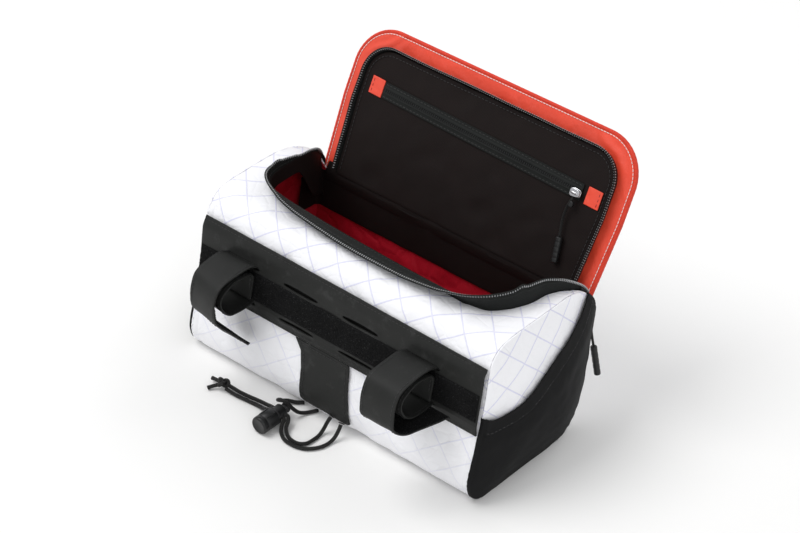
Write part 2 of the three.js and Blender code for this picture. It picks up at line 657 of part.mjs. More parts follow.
// Stretch pocket over the lower part of an end panel
function sidePocket(side) {
  const hem = through(HEM, ["y", "z"]);
  const level = (u) => {
    const p = hem.getPoint(u);
    const foot = outlinePoint(mix(HEM_REAR, HEM_FRONT, u));
    const near = (v, middle) => mix(middle, v, POCKET_INSIDE);
    return {
      top: { y: near(HEEL_Y + p.x * BAG_DEPTH, END_MIDDLE.y), z: near(p.y * BAG_HEIGHT, END_MIDDLE.z) },
      foot: { y: near(foot.y, END_MIDDLE.y), z: near(foot.z, END_MIDDLE.z) },
    };
  };
  const rows = spaced(0, 1, 13);
  const face = (lift) =>
    rows.map((u) => {
      const { top, foot } = level(u);
      const length = Math.max(1, Math.hypot(foot.y - top.y, foot.z - top.z));
      const hemShare = Math.min(0.3, POCKET_HEM / length);
      return [0, hemShare * 0.98, hemShare, 0.5, 0.75, 0.9, 1].map((v, j) => {
        const y = mix(top.y, foot.y, v);
        const z = mix(top.z, foot.z, v);
        const swell = POCKET_SWELL * Math.sin(Math.PI * u) * Math.sin(Math.PI * v);
        const thick = lift * (j < 2 ? POCKET_HEM_FULL : 1);
        return vec(side * (endFace(y, z) + POCKET_EASE + swell + thick), y, lifted(z, side));
      });
    });
  return slab(face(POCKET_THICK), face(0));
}

// Lid, in its own frame: across along X, up from the hinge, out from its inner face
const LID_SLOPE = THREE.MathUtils.degToRad(LID_ANGLE);
function lidPoint(across, up, out) {
  const bow = LID_BOW * (1 - Math.pow((2 * across) / LID_WIDTH, 2)) * Math.sin((Math.PI * up) / LID_HEIGHT);
  const n = out - bow;
  return vec(
    across,
    HINGE_Y + up * Math.cos(LID_SLOPE) - n * Math.sin(LID_SLOPE),
    HINGE_Z + up * Math.sin(LID_SLOPE) + n * Math.cos(LID_SLOPE),
  );
}

const ARC = spaced(0, Math.PI / 2, 5);
function lidRows(inset, corner, from, steps) {
  const shoulder = LID_HEIGHT - inset - corner;
  const sides = spaced(from, shoulder, steps).map((up) => ({ up, round: 0 }));
  const arc = ARC.slice(1).map((a) => ({
    up: shoulder + corner * Math.sin(a),
    round: corner * (1 - Math.cos(a)),
  }));
  return [...sides, ...arc];
}

const lidHalf = (up) => mix(LID_HINGE_WIDTH, LID_WIDTH, Math.min(1, (2 * up) / LID_HEIGHT)) / 2;

function lidSheet(inset, corner, from, steps, low, high, swell = 0) {
  const rows = lidRows(inset, corner, from, steps);
  const face = (out) =>
    grid(rows, spaced(-1, 1, 8), ({ up, round }, share) => {
      const puff = swell * Math.sin((Math.PI * up) / (LID_HEIGHT - inset)) * (1 - share * share);
      return lidPoint(share * (lidHalf(up) - inset - round), up, out + puff);
    });
  return slab(face(high), face(low));
}

const LID_INNER = GAP / 2 + LINING; // inner face of the orange lining
const lidShell = () => lidSheet(0, LID_CORNER, GAP, 3, -GAP / 2 - CLOTH, -GAP / 2);
const lidLining = () => lidSheet(0, LID_CORNER, GAP, 3, GAP / 2, LID_INNER);

const LID_TAPE_FOOT = LID_INNER + GAP;
function lidTape() {
  const base = LID_INSET + LID_TAPE_FLARE;
  const corner = LID_TAPE_CORNER - LID_TAPE_FLARE;
  const shoulder = LID_HEIGHT - base - corner;
  const start = 4;
  const side = (sign) =>
    spaced(start, shoulder, 3).map((up) => ({ across: sign * (lidHalf(up) - base), up, a: 0, sign }));
  const bend = (sign) =>
    ARC.slice(1).map((a) => ({
      across: sign * (lidHalf(shoulder + corner) - base - corner * (1 - Math.cos(a))),
      up: shoulder + corner * Math.sin(a),
      a,
      sign,
    }));
  const path = [...side(-1), ...bend(-1), ...bend(1).reverse(), ...side(1).reverse()];
  const face = (half) =>
    path.map(({ across, up, a, sign }) =>
      [0, 1].map((rise) => {
        const shift = half + rise * LID_TAPE_FLARE;
        return lidPoint(
          across + sign * Math.cos(a) * shift,
          up + Math.sin(a) * shift,
          LID_TAPE_FOOT + rise * LID_TAPE_HEIGHT,
        );
      }),
    );
  return slab(face(TAPE / 2), face(-TAPE / 2));
}

const POCKET_INSET = LID_INSET + LID_TAPE_FLARE + TAPE / 2 + GAP;
const POCKET_BASE = LID_INNER + LID_POCKET_LIFT;
const POCKET_PUFF = 2.5;
const pocketTop = (across, up) => {
  const share = across / (lidHalf(up) - POCKET_INSET);
  const height = LID_HEIGHT - POCKET_INSET;
  const puff = POCKET_PUFF * Math.sin((Math.PI * up) / height) * (1 - share * share);
  return POCKET_BASE + LID_POCKET_CLEAR + puff;
};
function lidPocket() {
  const corner = LID_TAPE_CORNER - LID_TAPE_FLARE - TAPE / 2 - GAP;
  const top = POCKET_BASE + LID_POCKET_CLEAR;
  return lidSheet(POCKET_INSET, corner, LID_POCKET_FOOT, 5, POCKET_BASE, top, POCKET_PUFF);
}

// A strip lying on the lid pocket from one place across to another
function pocketStrip(from, to, width, thick, steps, lift = GAP) {
  const middle = (across) => mix(POCKET_ZIP_LEFT, POCKET_ZIP_RIGHT, (across + LID_WIDTH / 2) / LID_WIDTH);
  const face = (extra) =>
    grid(spaced(from, to, steps), [-0.5, 0, 0.5], (across, share) => {
      const up = middle(across) + share * width;
      return lidPoint(across, up, pocketTop(across, up) + lift + extra);
    });
  return slab(face(thick), face(0));
}

// Round parts and cords
function cordTube(route, diameter) {
  const points = route.map((p) => (p.isVector3 ? p : vec(...p)));
  const curve = new THREE.CatmullRomCurve3(points, false, "centripetal");
  const sides = 8;
  const ring = spaced(0, 2 * Math.PI, sides).slice(0, -1);
  const section = new THREE.Shape(
    ring.map((a) => new THREE.Vector2(Math.cos(a), Math.sin(a)).multiplyScalar(diameter / 2)),
  );
  const steps = Math.max(3, Math.round(curve.getLength() / (2.2 * diameter)));
  return new THREE.ExtrudeGeometry(section, { steps, extrudePath: curve, bevelEnabled: false });
}

// A turned piece on its own axis, placed with the axis from foot to head
function turned(profile, foot, head, segments = 12) {
  const body = new THREE.LatheGeometry(profile.map(([r, h]) => new THREE.Vector2(r, h)), segments);
  const axis = head.clone().sub(foot).normalize();
  body.applyQuaternion(new THREE.Quaternion().setFromUnitVectors(vec(0, 1, 0), axis));
  body.translate(foot.x, foot.y, foot.z);
  return body;
}

const rod = (radius, length, chamfer) => [
  [0, 0], [radius - chamfer, 0], [radius, chamfer],
  [radius, length - chamfer], [radius - chamfer, length], [0, length],
];

function cordLock() {
  const [x, y, z] = LOCK_PLACE;
  const foot = vec(x, y - LOCK_LENGTH / 2, z);
  const [wide, narrow] = [LOCK_DIAMETER / 2, LOCK_NECK / 2];
  const end = LOCK_LENGTH + LOCK_NECK_LENGTH;
  const profile = [
    [0, 0], [wide - 1.2, 0], [wide, 1.2], [wide, LOCK_LENGTH - 1], [wide - 1, LOCK_LENGTH],
    [narrow, LOCK_LENGTH], [narrow, end - 0.8], [narrow - 0.8, end], [0, end],
  ];
  return turned(profile, foot, vec(x, y, z), 14);
}

function lockButton() {
  const [x, y, z] = LOCK_PLACE;
  const start = y + LOCK_LENGTH / 2 + LOCK_NECK_LENGTH + GAP;
  const foot = vec(x, start, z);
  return turned(rod(LOCK_BUTTON / 2, LOCK_BUTTON_LENGTH, 1), foot, vec(x, start + 1, z), 12);
}

function knot() {
  const middle = vec(...KNOT_PLACE);
  const ball = new THREE.SphereGeometry(KNOT / 2, 10, 7);
  ball.scale(1.1, 0.95, 0.9);
  ball.translate(middle.x, middle.y, middle.z);
  const stubs = KNOT_STUBS.map((tip) => {
    const end = vec(...tip);
    return turned(rod(CORD / 2, middle.distanceTo(end), 0.3), middle, end, 8);
  });
  return join(ball, ...stubs);
}

function slider(place, across, along, out) {
  const { length, width, height } = SLIDER;
  const [side, end] = [width / 2, length / 2];
  const { long, wide } = SLIDER_NOSE;
  const half = [[side - wide, -end], [side, long - end], [side - SLIDER_TAIL, end]];
  const mirrored = half.map(([x, y]) => [-x, y]).reverse();
  const shape = new THREE.Shape([...half, ...mirrored].map(([x, y]) => new THREE.Vector2(x, y)));
  const body = new THREE.ExtrudeGeometry(shape, { depth: height, bevelEnabled: false });
  body.applyMatrix4(new THREE.Matrix4().makeBasis(across, along, out).setPosition(place));
  return body;
}

// Assembly
const bag = new THREE.Group();
const add = (name, geometry, material) => {
  const mesh = new THREE.Mesh(geometry, material);
  mesh.name = name;
  bag.add(mesh);
};

add("body_wrap", bodyWrap(), WHITE());
add("end_left", endPanel(-1), WHITE());
add("end_right", endPanel(1), WHITE());
add("lining", lining(), RED());
add("opening_zip_tape", openingTape(), BLACK());
add("hinge_band", hingeBand(), BLACK());

add("handlebar_panel", handlebarPanel(), BLACK());
add("loop_strip", loopStrip(), BLACK());
add("strap_left", strap(0, "left"), BLACK());
add("strap_right", strap(3, "right"), BLACK());
add("tongue", tongue(), BLACK());

add("side_pocket_left", sidePocket(-1), BLACK());
add("side_pocket_right", sidePocket(1), BLACK());

add("lid_shell", lidShell(), WHITE());
add("lid_lining", lidLining(), ORANGE());
add("lid_zip_tape", lidTape(), BLACK());
add("lid_pocket", lidPocket(), MESH_BLACK());

const zipEnd = lidHalf(POCKET_ZIP_LEFT) - POCKET_INSET - TAB_EDGE.left - TAB_LENGTH;
add("pocket_zip", pocketStrip(-zipEnd, zipEnd, POCKET_ZIP_WIDTH, TAPE, 8), BLACK());
add("tab_left", pocketStrip(-zipEnd - GAP - TAB_LENGTH, -zipEnd - GAP, TAB_WIDTH, TAPE, 2), ORANGE());
const tabEnd = lidHalf(POCKET_ZIP_RIGHT) - POCKET_INSET - TAB_EDGE.right;
add("tab_right", pocketStrip(tabEnd - TAB_LENGTH, tabEnd, TAB_WIDTH, TAPE, 2), ORANGE());

const lidAcross = vec(1, 0, 0);
const lidUp = vec(0, Math.cos(LID_SLOPE), Math.sin(LID_SLOPE));
const lidOut = vec(0, -Math.sin(LID_SLOPE), Math.cos(LID_SLOPE));
// A place given from the right end of the pocket's zip
const fromZip = ([across, up, ...lift]) => [zipEnd + across, POCKET_ZIP_RIGHT + up, ...lift];
const [pullAcross, pullUp] = fromZip(POCKET_PULL_ROUTE[0]);
const sliderUp = pullUp + GAP + SLIDER.width / 2;
const onPocket = (across, up, lift) => lidPoint(across, up, pocketTop(across, up) + lift);
add(
  "pocket_slider",
  slider(onPocket(pullAcross, sliderUp, 2 * GAP + TAPE), lidUp.clone().negate(), lidAcross, lidOut),
  METAL(),
);
const pocketRoute = POCKET_PULL_ROUTE.map((row) => onPocket(...fromZip(row)));
add("pocket_pull_cord", cordTube(pocketRoute, PULL_CORD), BLACK());
const pocketGripHead = pocketRoute[pocketRoute.length - 1];
const pocketGripFoot = onPocket(...fromZip(POCKET_GRIP_FOOT), GRIP_DIAMETER / 2 + GAP);
// A grip from just past the end of its cord towards a foot
const grip = (head, foot, length) => {
  const way = foot.clone().sub(head).normalize();
  return turned(rod(GRIP_DIAMETER / 2, length, 0.6), head.clone().addScaledVector(way, GAP), foot, 10);
};
add("pocket_pull_grip", grip(pocketGripHead, pocketGripFoot, POCKET_GRIP_LENGTH), BLACK());

const mainAcross = LID_HINGE_WIDTH / 2 - MAIN_SLIDER_IN;
const mainPlace = vec(mainAcross, HINGE_Y + MAIN_SLIDER_OUT, HINGE_Z - MAIN_SLIDER_DROP);
const fromMain = (step) => mainPlace.clone().add(vec(...step));
const mainBase = fromMain([0, -SLIDER.height / 2, 0]);
add("main_slider", slider(mainBase, vec(0, 0, 1), vec(1, 0, 0), vec(0, 1, 0)), METAL());
const mainRoute = MAIN_PULL_ROUTE.map(fromMain);
add("main_pull_cord", cordTube(mainRoute, PULL_CORD), BLACK());
const mainGripHead = mainRoute[mainRoute.length - 1];
add("main_pull_grip", grip(mainGripHead, fromMain(MAIN_GRIP_FOOT), MAIN_GRIP_LENGTH), BLACK());

add("cord_lock", cordLock(), BLACK());
add("cord_lock_button", lockButton(), BLACK());
add("cord_knot", knot(), BLACK());
const cordMiddles = {
  lace_inner: LACE_INNER,
  lace_outer: LACE_OUTER,
  toggle_loop: TOGGLE_LOOP,
  cord_tail_upper: TAIL_UPPER,
  cord_tail_lower: TAIL_LOWER,
};
for (const [name, route] of Object.entries(cordMiddles)) add(name, cordTube(route, CORD), BLACK());

// The shock cord aside, the bag is centred over the origin.
const ON_FLOOR = ["cord_lock", "cord_lock_button", "cord_knot", ...Object.keys(cordMiddles)];
const box = new THREE.Box3();
for (const mesh of bag.children) if (!ON_FLOOR.includes(mesh.name)) box.expandByObject(mesh, true);
bag.position.y = -(box.min.y + box.max.y) / 2;

export default bag;
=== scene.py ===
"""A handlebar bag with its lid thrown open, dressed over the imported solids.

Shapes are drawn in millimetres about the same lines as the solids and put into the
row frame in metres; only the right strap's tail lies closer to its loop than the
solid's. Every surface is a grid of two parameters, or a profile carried along a path,
worked out as whole arrays.
"""

import bmesh
import bpy
import numpy as np
from bpy.props import FloatProperty, FloatVectorProperty, PointerProperty
from mathutils import Matrix, Vector


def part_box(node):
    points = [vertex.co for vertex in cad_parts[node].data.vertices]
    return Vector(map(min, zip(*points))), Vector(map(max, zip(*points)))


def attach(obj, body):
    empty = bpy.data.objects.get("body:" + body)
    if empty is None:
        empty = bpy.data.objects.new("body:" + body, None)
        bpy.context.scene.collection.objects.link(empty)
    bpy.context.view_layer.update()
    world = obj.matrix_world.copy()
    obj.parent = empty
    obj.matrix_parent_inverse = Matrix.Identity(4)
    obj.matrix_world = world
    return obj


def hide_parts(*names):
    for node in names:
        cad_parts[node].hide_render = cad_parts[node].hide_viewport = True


bl_info = {
    "name": "Handlebar bag",
    "version": (1, 0, 0),
    "blender": (4, 5, 0),
    "location": "3D View > Sidebar > Bag",
    "description": "Builds the cloth, zips, straps and cords of a handlebar bag over its solids",
    "category": "Object",
}

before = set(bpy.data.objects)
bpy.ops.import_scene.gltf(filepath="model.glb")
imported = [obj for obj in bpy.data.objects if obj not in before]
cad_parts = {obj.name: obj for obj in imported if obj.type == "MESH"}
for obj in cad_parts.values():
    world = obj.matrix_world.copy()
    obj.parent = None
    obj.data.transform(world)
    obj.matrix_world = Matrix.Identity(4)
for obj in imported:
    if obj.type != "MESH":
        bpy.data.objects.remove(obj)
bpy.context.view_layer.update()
MM = 0.001

# Body, in the solids' own sizes
BAG_LENGTH, BAG_DEPTH, BAG_HEIGHT = 280.0, 144.5, 127.0
HALF = BAG_LENGTH / 2
END_BULGE, END_TAPER = 10.0, 4.0
HINGE_Y = 62.5
HEEL_Y = HINGE_Y - BAG_DEPTH
CLOTH, LINING, GAP = 1.6, 1.0, 0.3
LIFT = (0.055, 0.046, 0.034, 0.018, 0.0)
LIFT_FADE = 4

# Outline rows from the rear shoulder down, under the base and up the front: share of the
# depth from the heel, share of the height
OUTLINE = np.array([
    (0.249, 0.984), (0.187, 0.937), (0.156, 0.874), (0.118, 0.661), (0.076, 0.449),
    (0.021, 0.252), (0, 0.134), (0.028, 0.039), (0.111, 0), (0.429, 0),
    (0.72, 0), (0.83, 0.055), (0.9, 0.173), (0.948, 0.378), (0.979, 0.598),
    (1, 0.78), (0.969, 0.866), (0.893, 0.937), (0.761, 0.988), (0.498, 1),
]) * (BAG_DEPTH, BAG_HEIGHT) + (HEEL_Y, 0)
PANEL_TOP, PANEL_FOOT, HEEL, HINGE = 2, 4, 6, 15
HINGE_Z = 0.78 * BAG_HEIGHT
TURN = len(OUTLINE)
TOP_SEAM = 1.2  # row at which the wrap's side patch meets its top patch
END_MIDDLE = np.array([HEEL_Y + 0.512 * BAG_DEPTH, 0.472 * BAG_HEIGHT])

# Rim of the opening: share of the half length, share of the depth, lean outwards in
# degrees, share of the tape's height
RIM = np.array([
    (-0.95, 0.985, 0, 0.1), (-0.88, 0.83, -4, 0.12), (-0.865, 0.7, 0, 0.18), (-0.862, 0.59, 0, 0.4),
    (-0.85, 0.5, 4, 0.55), (-0.812, 0.437, 16, 0.68), (-0.74, 0.4, 34, 0.8), (-0.6, 0.383, 58, 0.95),
    (-0.3, 0.368, 76, 1), (0, 0.362, 82, 1), (0.3, 0.362, 78, 1), (0.53, 0.367, 60, 1),
    (0.69, 0.375, 36, 1), (0.78, 0.41, 18, 1), (0.85, 0.49, 6, 1), (0.885, 0.57, 0, 1),
    (0.903, 0.69, 0, 0.85), (0.928, 0.79, 0, 0.6), (0.95, 0.88, 0, 0.3), (0.957, 0.985, 0, 0.1),
])
RIM_LEFT, RIM_RIGHT = RIM[0, 0], RIM[-1, 0]
RIM_STEPS = len(RIM) - 1
RIM_CORNERS = 5.6 / RIM_STEPS, 13.5 / RIM_STEPS  # where the rim turns from its ends to its length
COLLAR_HEIGHT, RIM_CLEAR, RIM_FOLD = 15.0, 1.0, 0.7
BAND_HEIGHT = 29.0  # black band inside the hinge

# Rows of the outline under the rear panel and tongue, and under the base
COVERED_ROWS = ((1.7, HEEL + 0.7), (6.5, 11.3))
PUCKER, WRAP_PUCKER = 3.1, 3.6  # from one pucker of a seam to the next

# Side pocket's hem across the end panel, shares of the depth and height
HEM = np.array([
    (0.1, 0.567), (0.142, 0.543), (0.228, 0.546), (0.332, 0.569), (0.453, 0.644),
    (0.588, 0.724), (0.724, 0.785), (0.84, 0.845), (0.93, 0.902),
]) * (BAG_DEPTH, BAG_HEIGHT) + (HEEL_Y, 0)
HEM_REAR, HEM_FRONT, HEM_DEEP = 3.45, 16.5, 12.0
HEM_FULL = 14.0  # where the pocket is shorter than this, its hem fades
POCKET_SWELL, POCKET_EASE, POCKET_INSIDE = 3.0, 0.9, 0.985

# Rear panel and straps
PANEL_SEAM, PANEL_STANDOFF, PANEL_THICK = 0.5, 2.4, 1.4
SLOT_PITCH, SLOT_LENGTH, SLOT_HEIGHT = 60.0, 35.0, 5.0
SLOT_COLUMNS = (-1.6, -0.6, 0.4, 1.4)
SLOT_ROWS = (0.33, 0.84)
LOOP_STRIP = 22.0
STRAP_WIDTH, STRAP_REACH, STRAP_DROP, STRAP_FLAT = 32.0, 49.0, 56.0, 0.23
STRAP_TURN = {"left": 0.2, "right": 0.0}
STRAP_SEAM, STRAP_SEAM_OUT = 0.43, 0.72
PILE_START = {"left": 0.82, "right": 0.88}
# Strap seen from its end: out, down and skew, as shares of the reach, drop and width
STRAP_INNER = [
    (0.178, 0.785, 0), (0.168, 0.571, 0), (0.172, 0.446, 0), (0.215, 0.402, 0), (0.408, 0.393, 0),
    (0.584, 0.42, 0), (0.727, 0.493, 0), (0.829, 0.589, 0), (0.837, 0.705, 0), (0.735, 0.839, 0),
    (0.602, 0.907, 0), (0.48, 0.916, 0), (0.245, 0.884, 0), (0.12, 0.85, 0), (0.062, 0.838, 0),
    (0.03, 0.79, 0),
]
STRAP_OUTER = [
    (0.028, 0.6, 0), (0.028, 0.4, 0), (0.042, 0.345, 0), (0.075, 0.325, 0), (0.13, 0.305, 0),
    (0.25, 0.277, 0), (0.551, 0.321, 0), (0.91, 0.45, 0), (0.992, 0.634, 0),
]
# The right tail lies closer to its loop than the solid's, as the photo shows
STRAP_TAILS = {
    "left": [
        (0.975, 0.8, 0), (0.905, 0.95, 0), (0.8, 1.03, 0.02), (0.65, 1.125, 0.06), (0.408, 1.3, 0.12),
        (0.17, 1.46, 0.18),
    ],
    "right": [
        (0.99, 0.82, 0), (0.953, 0.971, 0), (0.86, 1.05, 0.02), (0.7, 1.09, 0.1),
        (0.5, 1.03, 0.25), (0.3, 0.95, 0.42), (0.12, 0.88, 0.57),
    ],
}
# Tongue: share of the way down, left and right edge in shares of its width
TONGUE_WIDTH, TONGUE_FOOT, TONGUE_SEAM = 46.0, 0.45, 3.2
TONGUE = np.array([
    (0, -0.82, 0.36), (0.12, -0.66, 0.4), (0.32, -0.58, 0.45), (0.5, -0.56, 0.5), (0.62, -0.55, 0.53),
    (0.74, -0.54, 0.55), (0.84, -0.53, 0.57), (0.93, -0.53, 0.58), (1, -0.45, 0.52),
])

# Lid
LID_WIDTH, LID_HINGE_WIDTH, LID_HEIGHT, LID_CORNER = 274.0, 266.0, 123.5, 34.0
LID_SLOPE = np.radians(61.35)
LID_BOW = 2.0
LID_INSET, LID_TAPE_HEIGHT, LID_TAPE_CORNER, LID_TAPE_FLARE = 13.0, 7.0, 25.0, 2.0
LID_INNER = GAP / 2 + LINING
POCKET_INSET = LID_INSET + LID_TAPE_FLARE + 0.9
POCKET_BASE = LID_INNER + 2.4
POCKET_CLEAR, POCKET_PUFF = 1.2, 2.5
POCKET_CORNER = LID_TAPE_CORNER - LID_TAPE_FLARE - 0.9
# Section of the lid's binding: out past the edge and out of the inner face
BINDING = np.array([
    (-1.7, 1.4), (-0.5, 1.5), (0.25, 1.25), (0.7, 0.4), (0.75, -0.5), (0.45, -1.6), (-0.5, -2.05), (-1.9, -1.95),
    (-2.0, -1.0), (-1.9, 0.6),
])
ZIP_LEFT, ZIP_RIGHT, ZIP_WIDTH = 79.0, 72.0, 13.0
TOOTH = (2.0, 0.95, 2.1)
ZIP_SEAM = 4.9

# Cords, the same points as the solids' tubes
CORD, PULL_CORD, GRIP = 3.0, 2.0, 5.2
LOCK_PLACE, LOCK_LENGTH, LOCK_NECK_LENGTH = np.array([-28.0, -116.0, 7.5]), 18.0, 8.0
LOCK_END, LOCK_WIDE, LOCK_NARROW = LOCK_LENGTH + LOCK_NECK_LENGTH, 7.2, 5.8
LOCK_HOLES, HOLE_SIZE, HOLE_RIM, HOLE_OUT = (-101.2, -104.9), 1.75, 0.35, 5.6
# Radius and height of the lock and of its button's cap
LOCK_PROFILE = [
    (0, 0.3), (5.2, 0.3), (5.7, 0), (6.4, 0.2), (6.95, 0.8), (LOCK_WIDE, 1.6), (LOCK_WIDE, 4.2), (6.9, 4.5),
    (6.9, 5.1), (LOCK_WIDE, 5.4), (LOCK_WIDE, 15.6), (6.95, 15.9), (6.95, 16.4), (LOCK_WIDE, 16.7),
    (LOCK_WIDE, 17.5), (6.8, 18), (6.1, 18.1), (LOCK_NARROW, 18.6), (LOCK_NARROW, LOCK_END - 1.2),
    (5.5, LOCK_END - 0.5), (5.0, LOCK_END - 0.1), (4.5, LOCK_END), (0, LOCK_END),
]
CAP_PROFILE = [
    (0, 0), (3.3, 0), (3.7, 0.3), (3.7, 2.9), (4.0, 3.2), (4.2, 3.7), (4.1, 4.3), (3.7, 4.7), (3, 4.95),
    (1.6, 4.8), (0, 4.7),
]
LACES = {
    "lace_inner": [
        (-21.2, -101.2, 7.5), (-19, -101.9, 7.3), (-16.6, -104.6, 6.2), (-14, -109.5, 4), (-8, -113.8, 1.8),
        (-1.7, -115.2, 1.7), (4, -114.2, 1.7), (7.6, -110.6, 1.7), (8.6, -104.5, 1.7), (8.2, -97, 1.7),
        (7.8, -92, 4), (8.4, -88.4, 8.8), (9, -85.1, 12.2),
    ],
    "lace_outer": [
        (-21.2, -104.9, 7.5), (-19.4, -105.8, 6.9), (-18, -109.4, 5.6), (-14.5, -114.5, 3.4),
        (-8.5, -117.9, 1.8), (-1.8, -118.9, 1.7), (5, -118.2, 1.7), (11.4, -115.4, 1.7), (15.8, -111, 1.7),
        (19, -105, 1.7), (20, -98, 1.8), (20.2, -93, 3.6), (20, -88.8, 7), (19.4, -85.2, 10.6),
    ],
    "toggle_loop": [
        (-26.5, -76.2, 1.8), (-31.5, -80.4, 2), (-36.6, -84, 3), (-37.6, -90, 6.2), (-35.8, -95.4, 11),
        (-31, -97, 14.5), (-25.5, -96.4, 14.2), (-21, -94.4, 9.6), (-19.4, -90, 4.4), (-17.2, -85, 2.2),
        (-15.6, -81.8, 1.8), (-12.4, -76.2, 1.8),
    ],
    "cord_tail_upper": [
        (-34.6, -101.2, 7.5), (-38.5, -100.2, 6.2), (-44, -99, 4.2), (-52, -98.6, 3), (-62, -99.6, 2.6),
        (-72, -100.6, 2.8), (-81.5, -101.4, 4),
    ],
    "cord_tail_lower": [
        (-34.6, -104.9, 7.3), (-38.5, -104.2, 5.4), (-44, -103, 3), (-52, -102.4, 1.8), (-62, -103.4, 1.7),
        (-72, -104.4, 1.8), (-81.8, -105, 3),
    ],
}
KNOT_PLACE, KNOT_SIZE, KNOT_LIFT = np.array([-86.2, -103.2, 4.2]), 1.45, 1.3
KNOT_STUBS = [(-98.6, -102.4, 3), (-94, -112.4, 1.8)]
MAIN_PULL = [
    (131.8, 66.4, 92.2), (134.2, 66.8, 90.4), (135.4, 66.8, 86), (134.2, 66.6, 81), (133.4, 66.4, 76),
    (134.8, 66.4, 66), (136.6, 66.4, 58),
]
MAIN_GRIP_FOOT, MAIN_GRIP_LENGTH = (141.8, 66.4, 33), 25.0
POCKET_PULL = [
    (95.5, 67.5, 4.2), (94, 62.5, 4.4), (92.6, 56, 3.4), (92.8, 48, 3), (94.2, 41, 3), (95.2, 36.5, 3),
]
POCKET_GRIP_FOOT, POCKET_GRIP_LENGTH = (97.6, 21), 20.0
MAIN_SLIDER = np.array([126.4, 62.8, 93.0])

# The view: camera about its aim, lamps by place, size and power, and the light all round
AZIMUTH, ELEVATION, CAMERA_FAR = np.radians(41.68), np.radians(36.13), 2094.24
CAMERA_AIM, LENS, SENSOR = np.array([2.54, 0, 102.01]), 126, 36
LAMPS = {
    "key": ((-1.1, -0.7, 2.3), 1.8, 37), "fill": ((1.9, -1.5, 1.3), 2.2, 13), "back": ((0.4, 2.0, 1.8), 2.0, 14),
}
LAMP_AIM = (0, 0, 0.08)
SKY, SKY_POWER = (0.97, 0.98, 1, 1), 0.6
FLOOR_HALF = 2500

UP, SIDE, WAY = np.array([0, 0, 1.0]), np.array([1.0, 0, 0]), np.array([0, 1.0, 0])

# The solids are centred along Y after they are drawn; the lock's end gives by how much
SHIFT = np.array([0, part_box("cord_lock")[0][1] / MM - (LOCK_PLACE[1] - LOCK_LENGTH / 2), 0])


def length(name, words, default, low, high):
    return FloatProperty(name=name, description=words + ", in metres", default=default, min=low, max=high,
                         unit="LENGTH", precision=5)


class BagSizes(bpy.types.PropertyGroup):
    """Sizes that a user may change."""

    wrinkle: length("Wrinkles", "Height of the cloth's soft waves", 0.0007, 0, 0.003)
    tooth_pitch: length("Tooth pitch", "From one zip tooth to the next", 0.00195, 0.0008, 0.003)
    stitch: length("Stitch", "Length of one stitch", 0.0026, 0.001, 0.006)
    thread: length("Thread", "Thickness of the sewing thread", 0.00045, 0.0002, 0.001)


def tint(name, words, default):
    return FloatVectorProperty(name=name, description=words, default=default, subtype="COLOR", min=0, max=1)


class BagColours(bpy.types.PropertyGroup):
    """Colours that a user may change, in linear light."""

    cloth: tint("Cloth", "Outside cloth", (0.9, 0.9, 0.925))
    yarn: tint("Yarn", "Diamond grid in the outside cloth", (0.66, 0.66, 0.83))
    lining: tint("Lining", "Inside of the body", (0.42, 0.005, 0.018))
    lid: tint("Lid lining", "Inside of the lid", (0.88, 0.072, 0.03))
    binding: tint("Binding", "Edge of the lid", (0.74, 0.055, 0.028))
    panel: tint("Panel", "Rear panel, tongue and straps", (0.017, 0.0175, 0.0165))
    stretch: tint("Stretch cloth", "Side pockets", (0.0072, 0.0072, 0.0075))
    tape: tint("Tape", "Zip tapes", (0.0105, 0.0118, 0.011))
    mesh: tint("Mesh", "Lid pocket", (0.0062, 0.0052, 0.005))
    metal: tint("Metal", "Zip sliders", (0.62, 0.62, 0.64))


# Arrays: points are rows of x, y, z in millimetres, as the solids were drawn


def unit(v):
    """Each vector over its own length."""
    return v / np.maximum(np.linalg.norm(v, axis=-1, keepdims=True), 1e-9)


def stacked(*parts):
    """Coordinates, spread over one grid, as the last axis of one array."""
    return np.stack(np.broadcast_arrays(*parts), axis=-1).astype(float)


def smooth(low, high, x):
    """Rises from 0 at low to 1 at high as 3t^2 - 2t^3."""
    t = np.clip((np.asarray(x, float) - low) / (high - low), 0, 1)
    return t * t * (3 - 2 * t)


def bump_at(x, middle, width):
    """A bell of height 1 round the middle, e to the minus square."""
    return np.exp(-(((np.asarray(x, float) - middle) / width) ** 2))


def spline(points, at, closed=False):
    """Cubic through the points, read at their numbers: between two neighbours it leaves and
    arrives with slopes weighted by the square roots of the distances on both sides."""
    p, at = np.asarray(points, float), np.asarray(at, float)
    if closed:
        i = np.floor(at).astype(int)
        x0, x1, x2, x3 = (p[(i + j) % len(p)] for j in (-1, 0, 1, 2))
    else:
        i = np.clip(np.floor(at), 0, len(p) - 2).astype(int)
        longer = np.vstack([2 * p[0] - p[1], p, 2 * p[-1] - p[-2]])
        x0, x1, x2, x3 = (longer[i + j] for j in range(4))
    w = (at - i)[..., None]

    def root(a, b):
        return np.maximum(np.sqrt(np.linalg.norm(b - a, axis=-1, keepdims=True)), 1e-4)

    d0, d1, d2 = root(x0, x1), root(x1, x2), root(x2, x3)
    leave = ((x1 - x0) / d0 - (x2 - x0) / (d0 + d1) + (x2 - x1) / d1) * d1
    arrive = ((x2 - x1) / d1 - (x3 - x1) / (d1 + d2) + (x3 - x2) / d2) * d1
    return x1 + leave * w + (3 * (x2 - x1) - 2 * leave - arrive) * w**2 + (2 * (x1 - x2) + leave + arrive) * w**3


def travelled(p):
    """Length along a line of points, from 0."""
    return np.concatenate([[0], np.cumsum(np.linalg.norm(np.diff(p, axis=0), axis=-1))])


def inside(x, steep):
    """0 at both ends of a share from 0 to 1, and 1 away from them."""
    return np.minimum(1, steep * np.minimum(x, 1 - x))


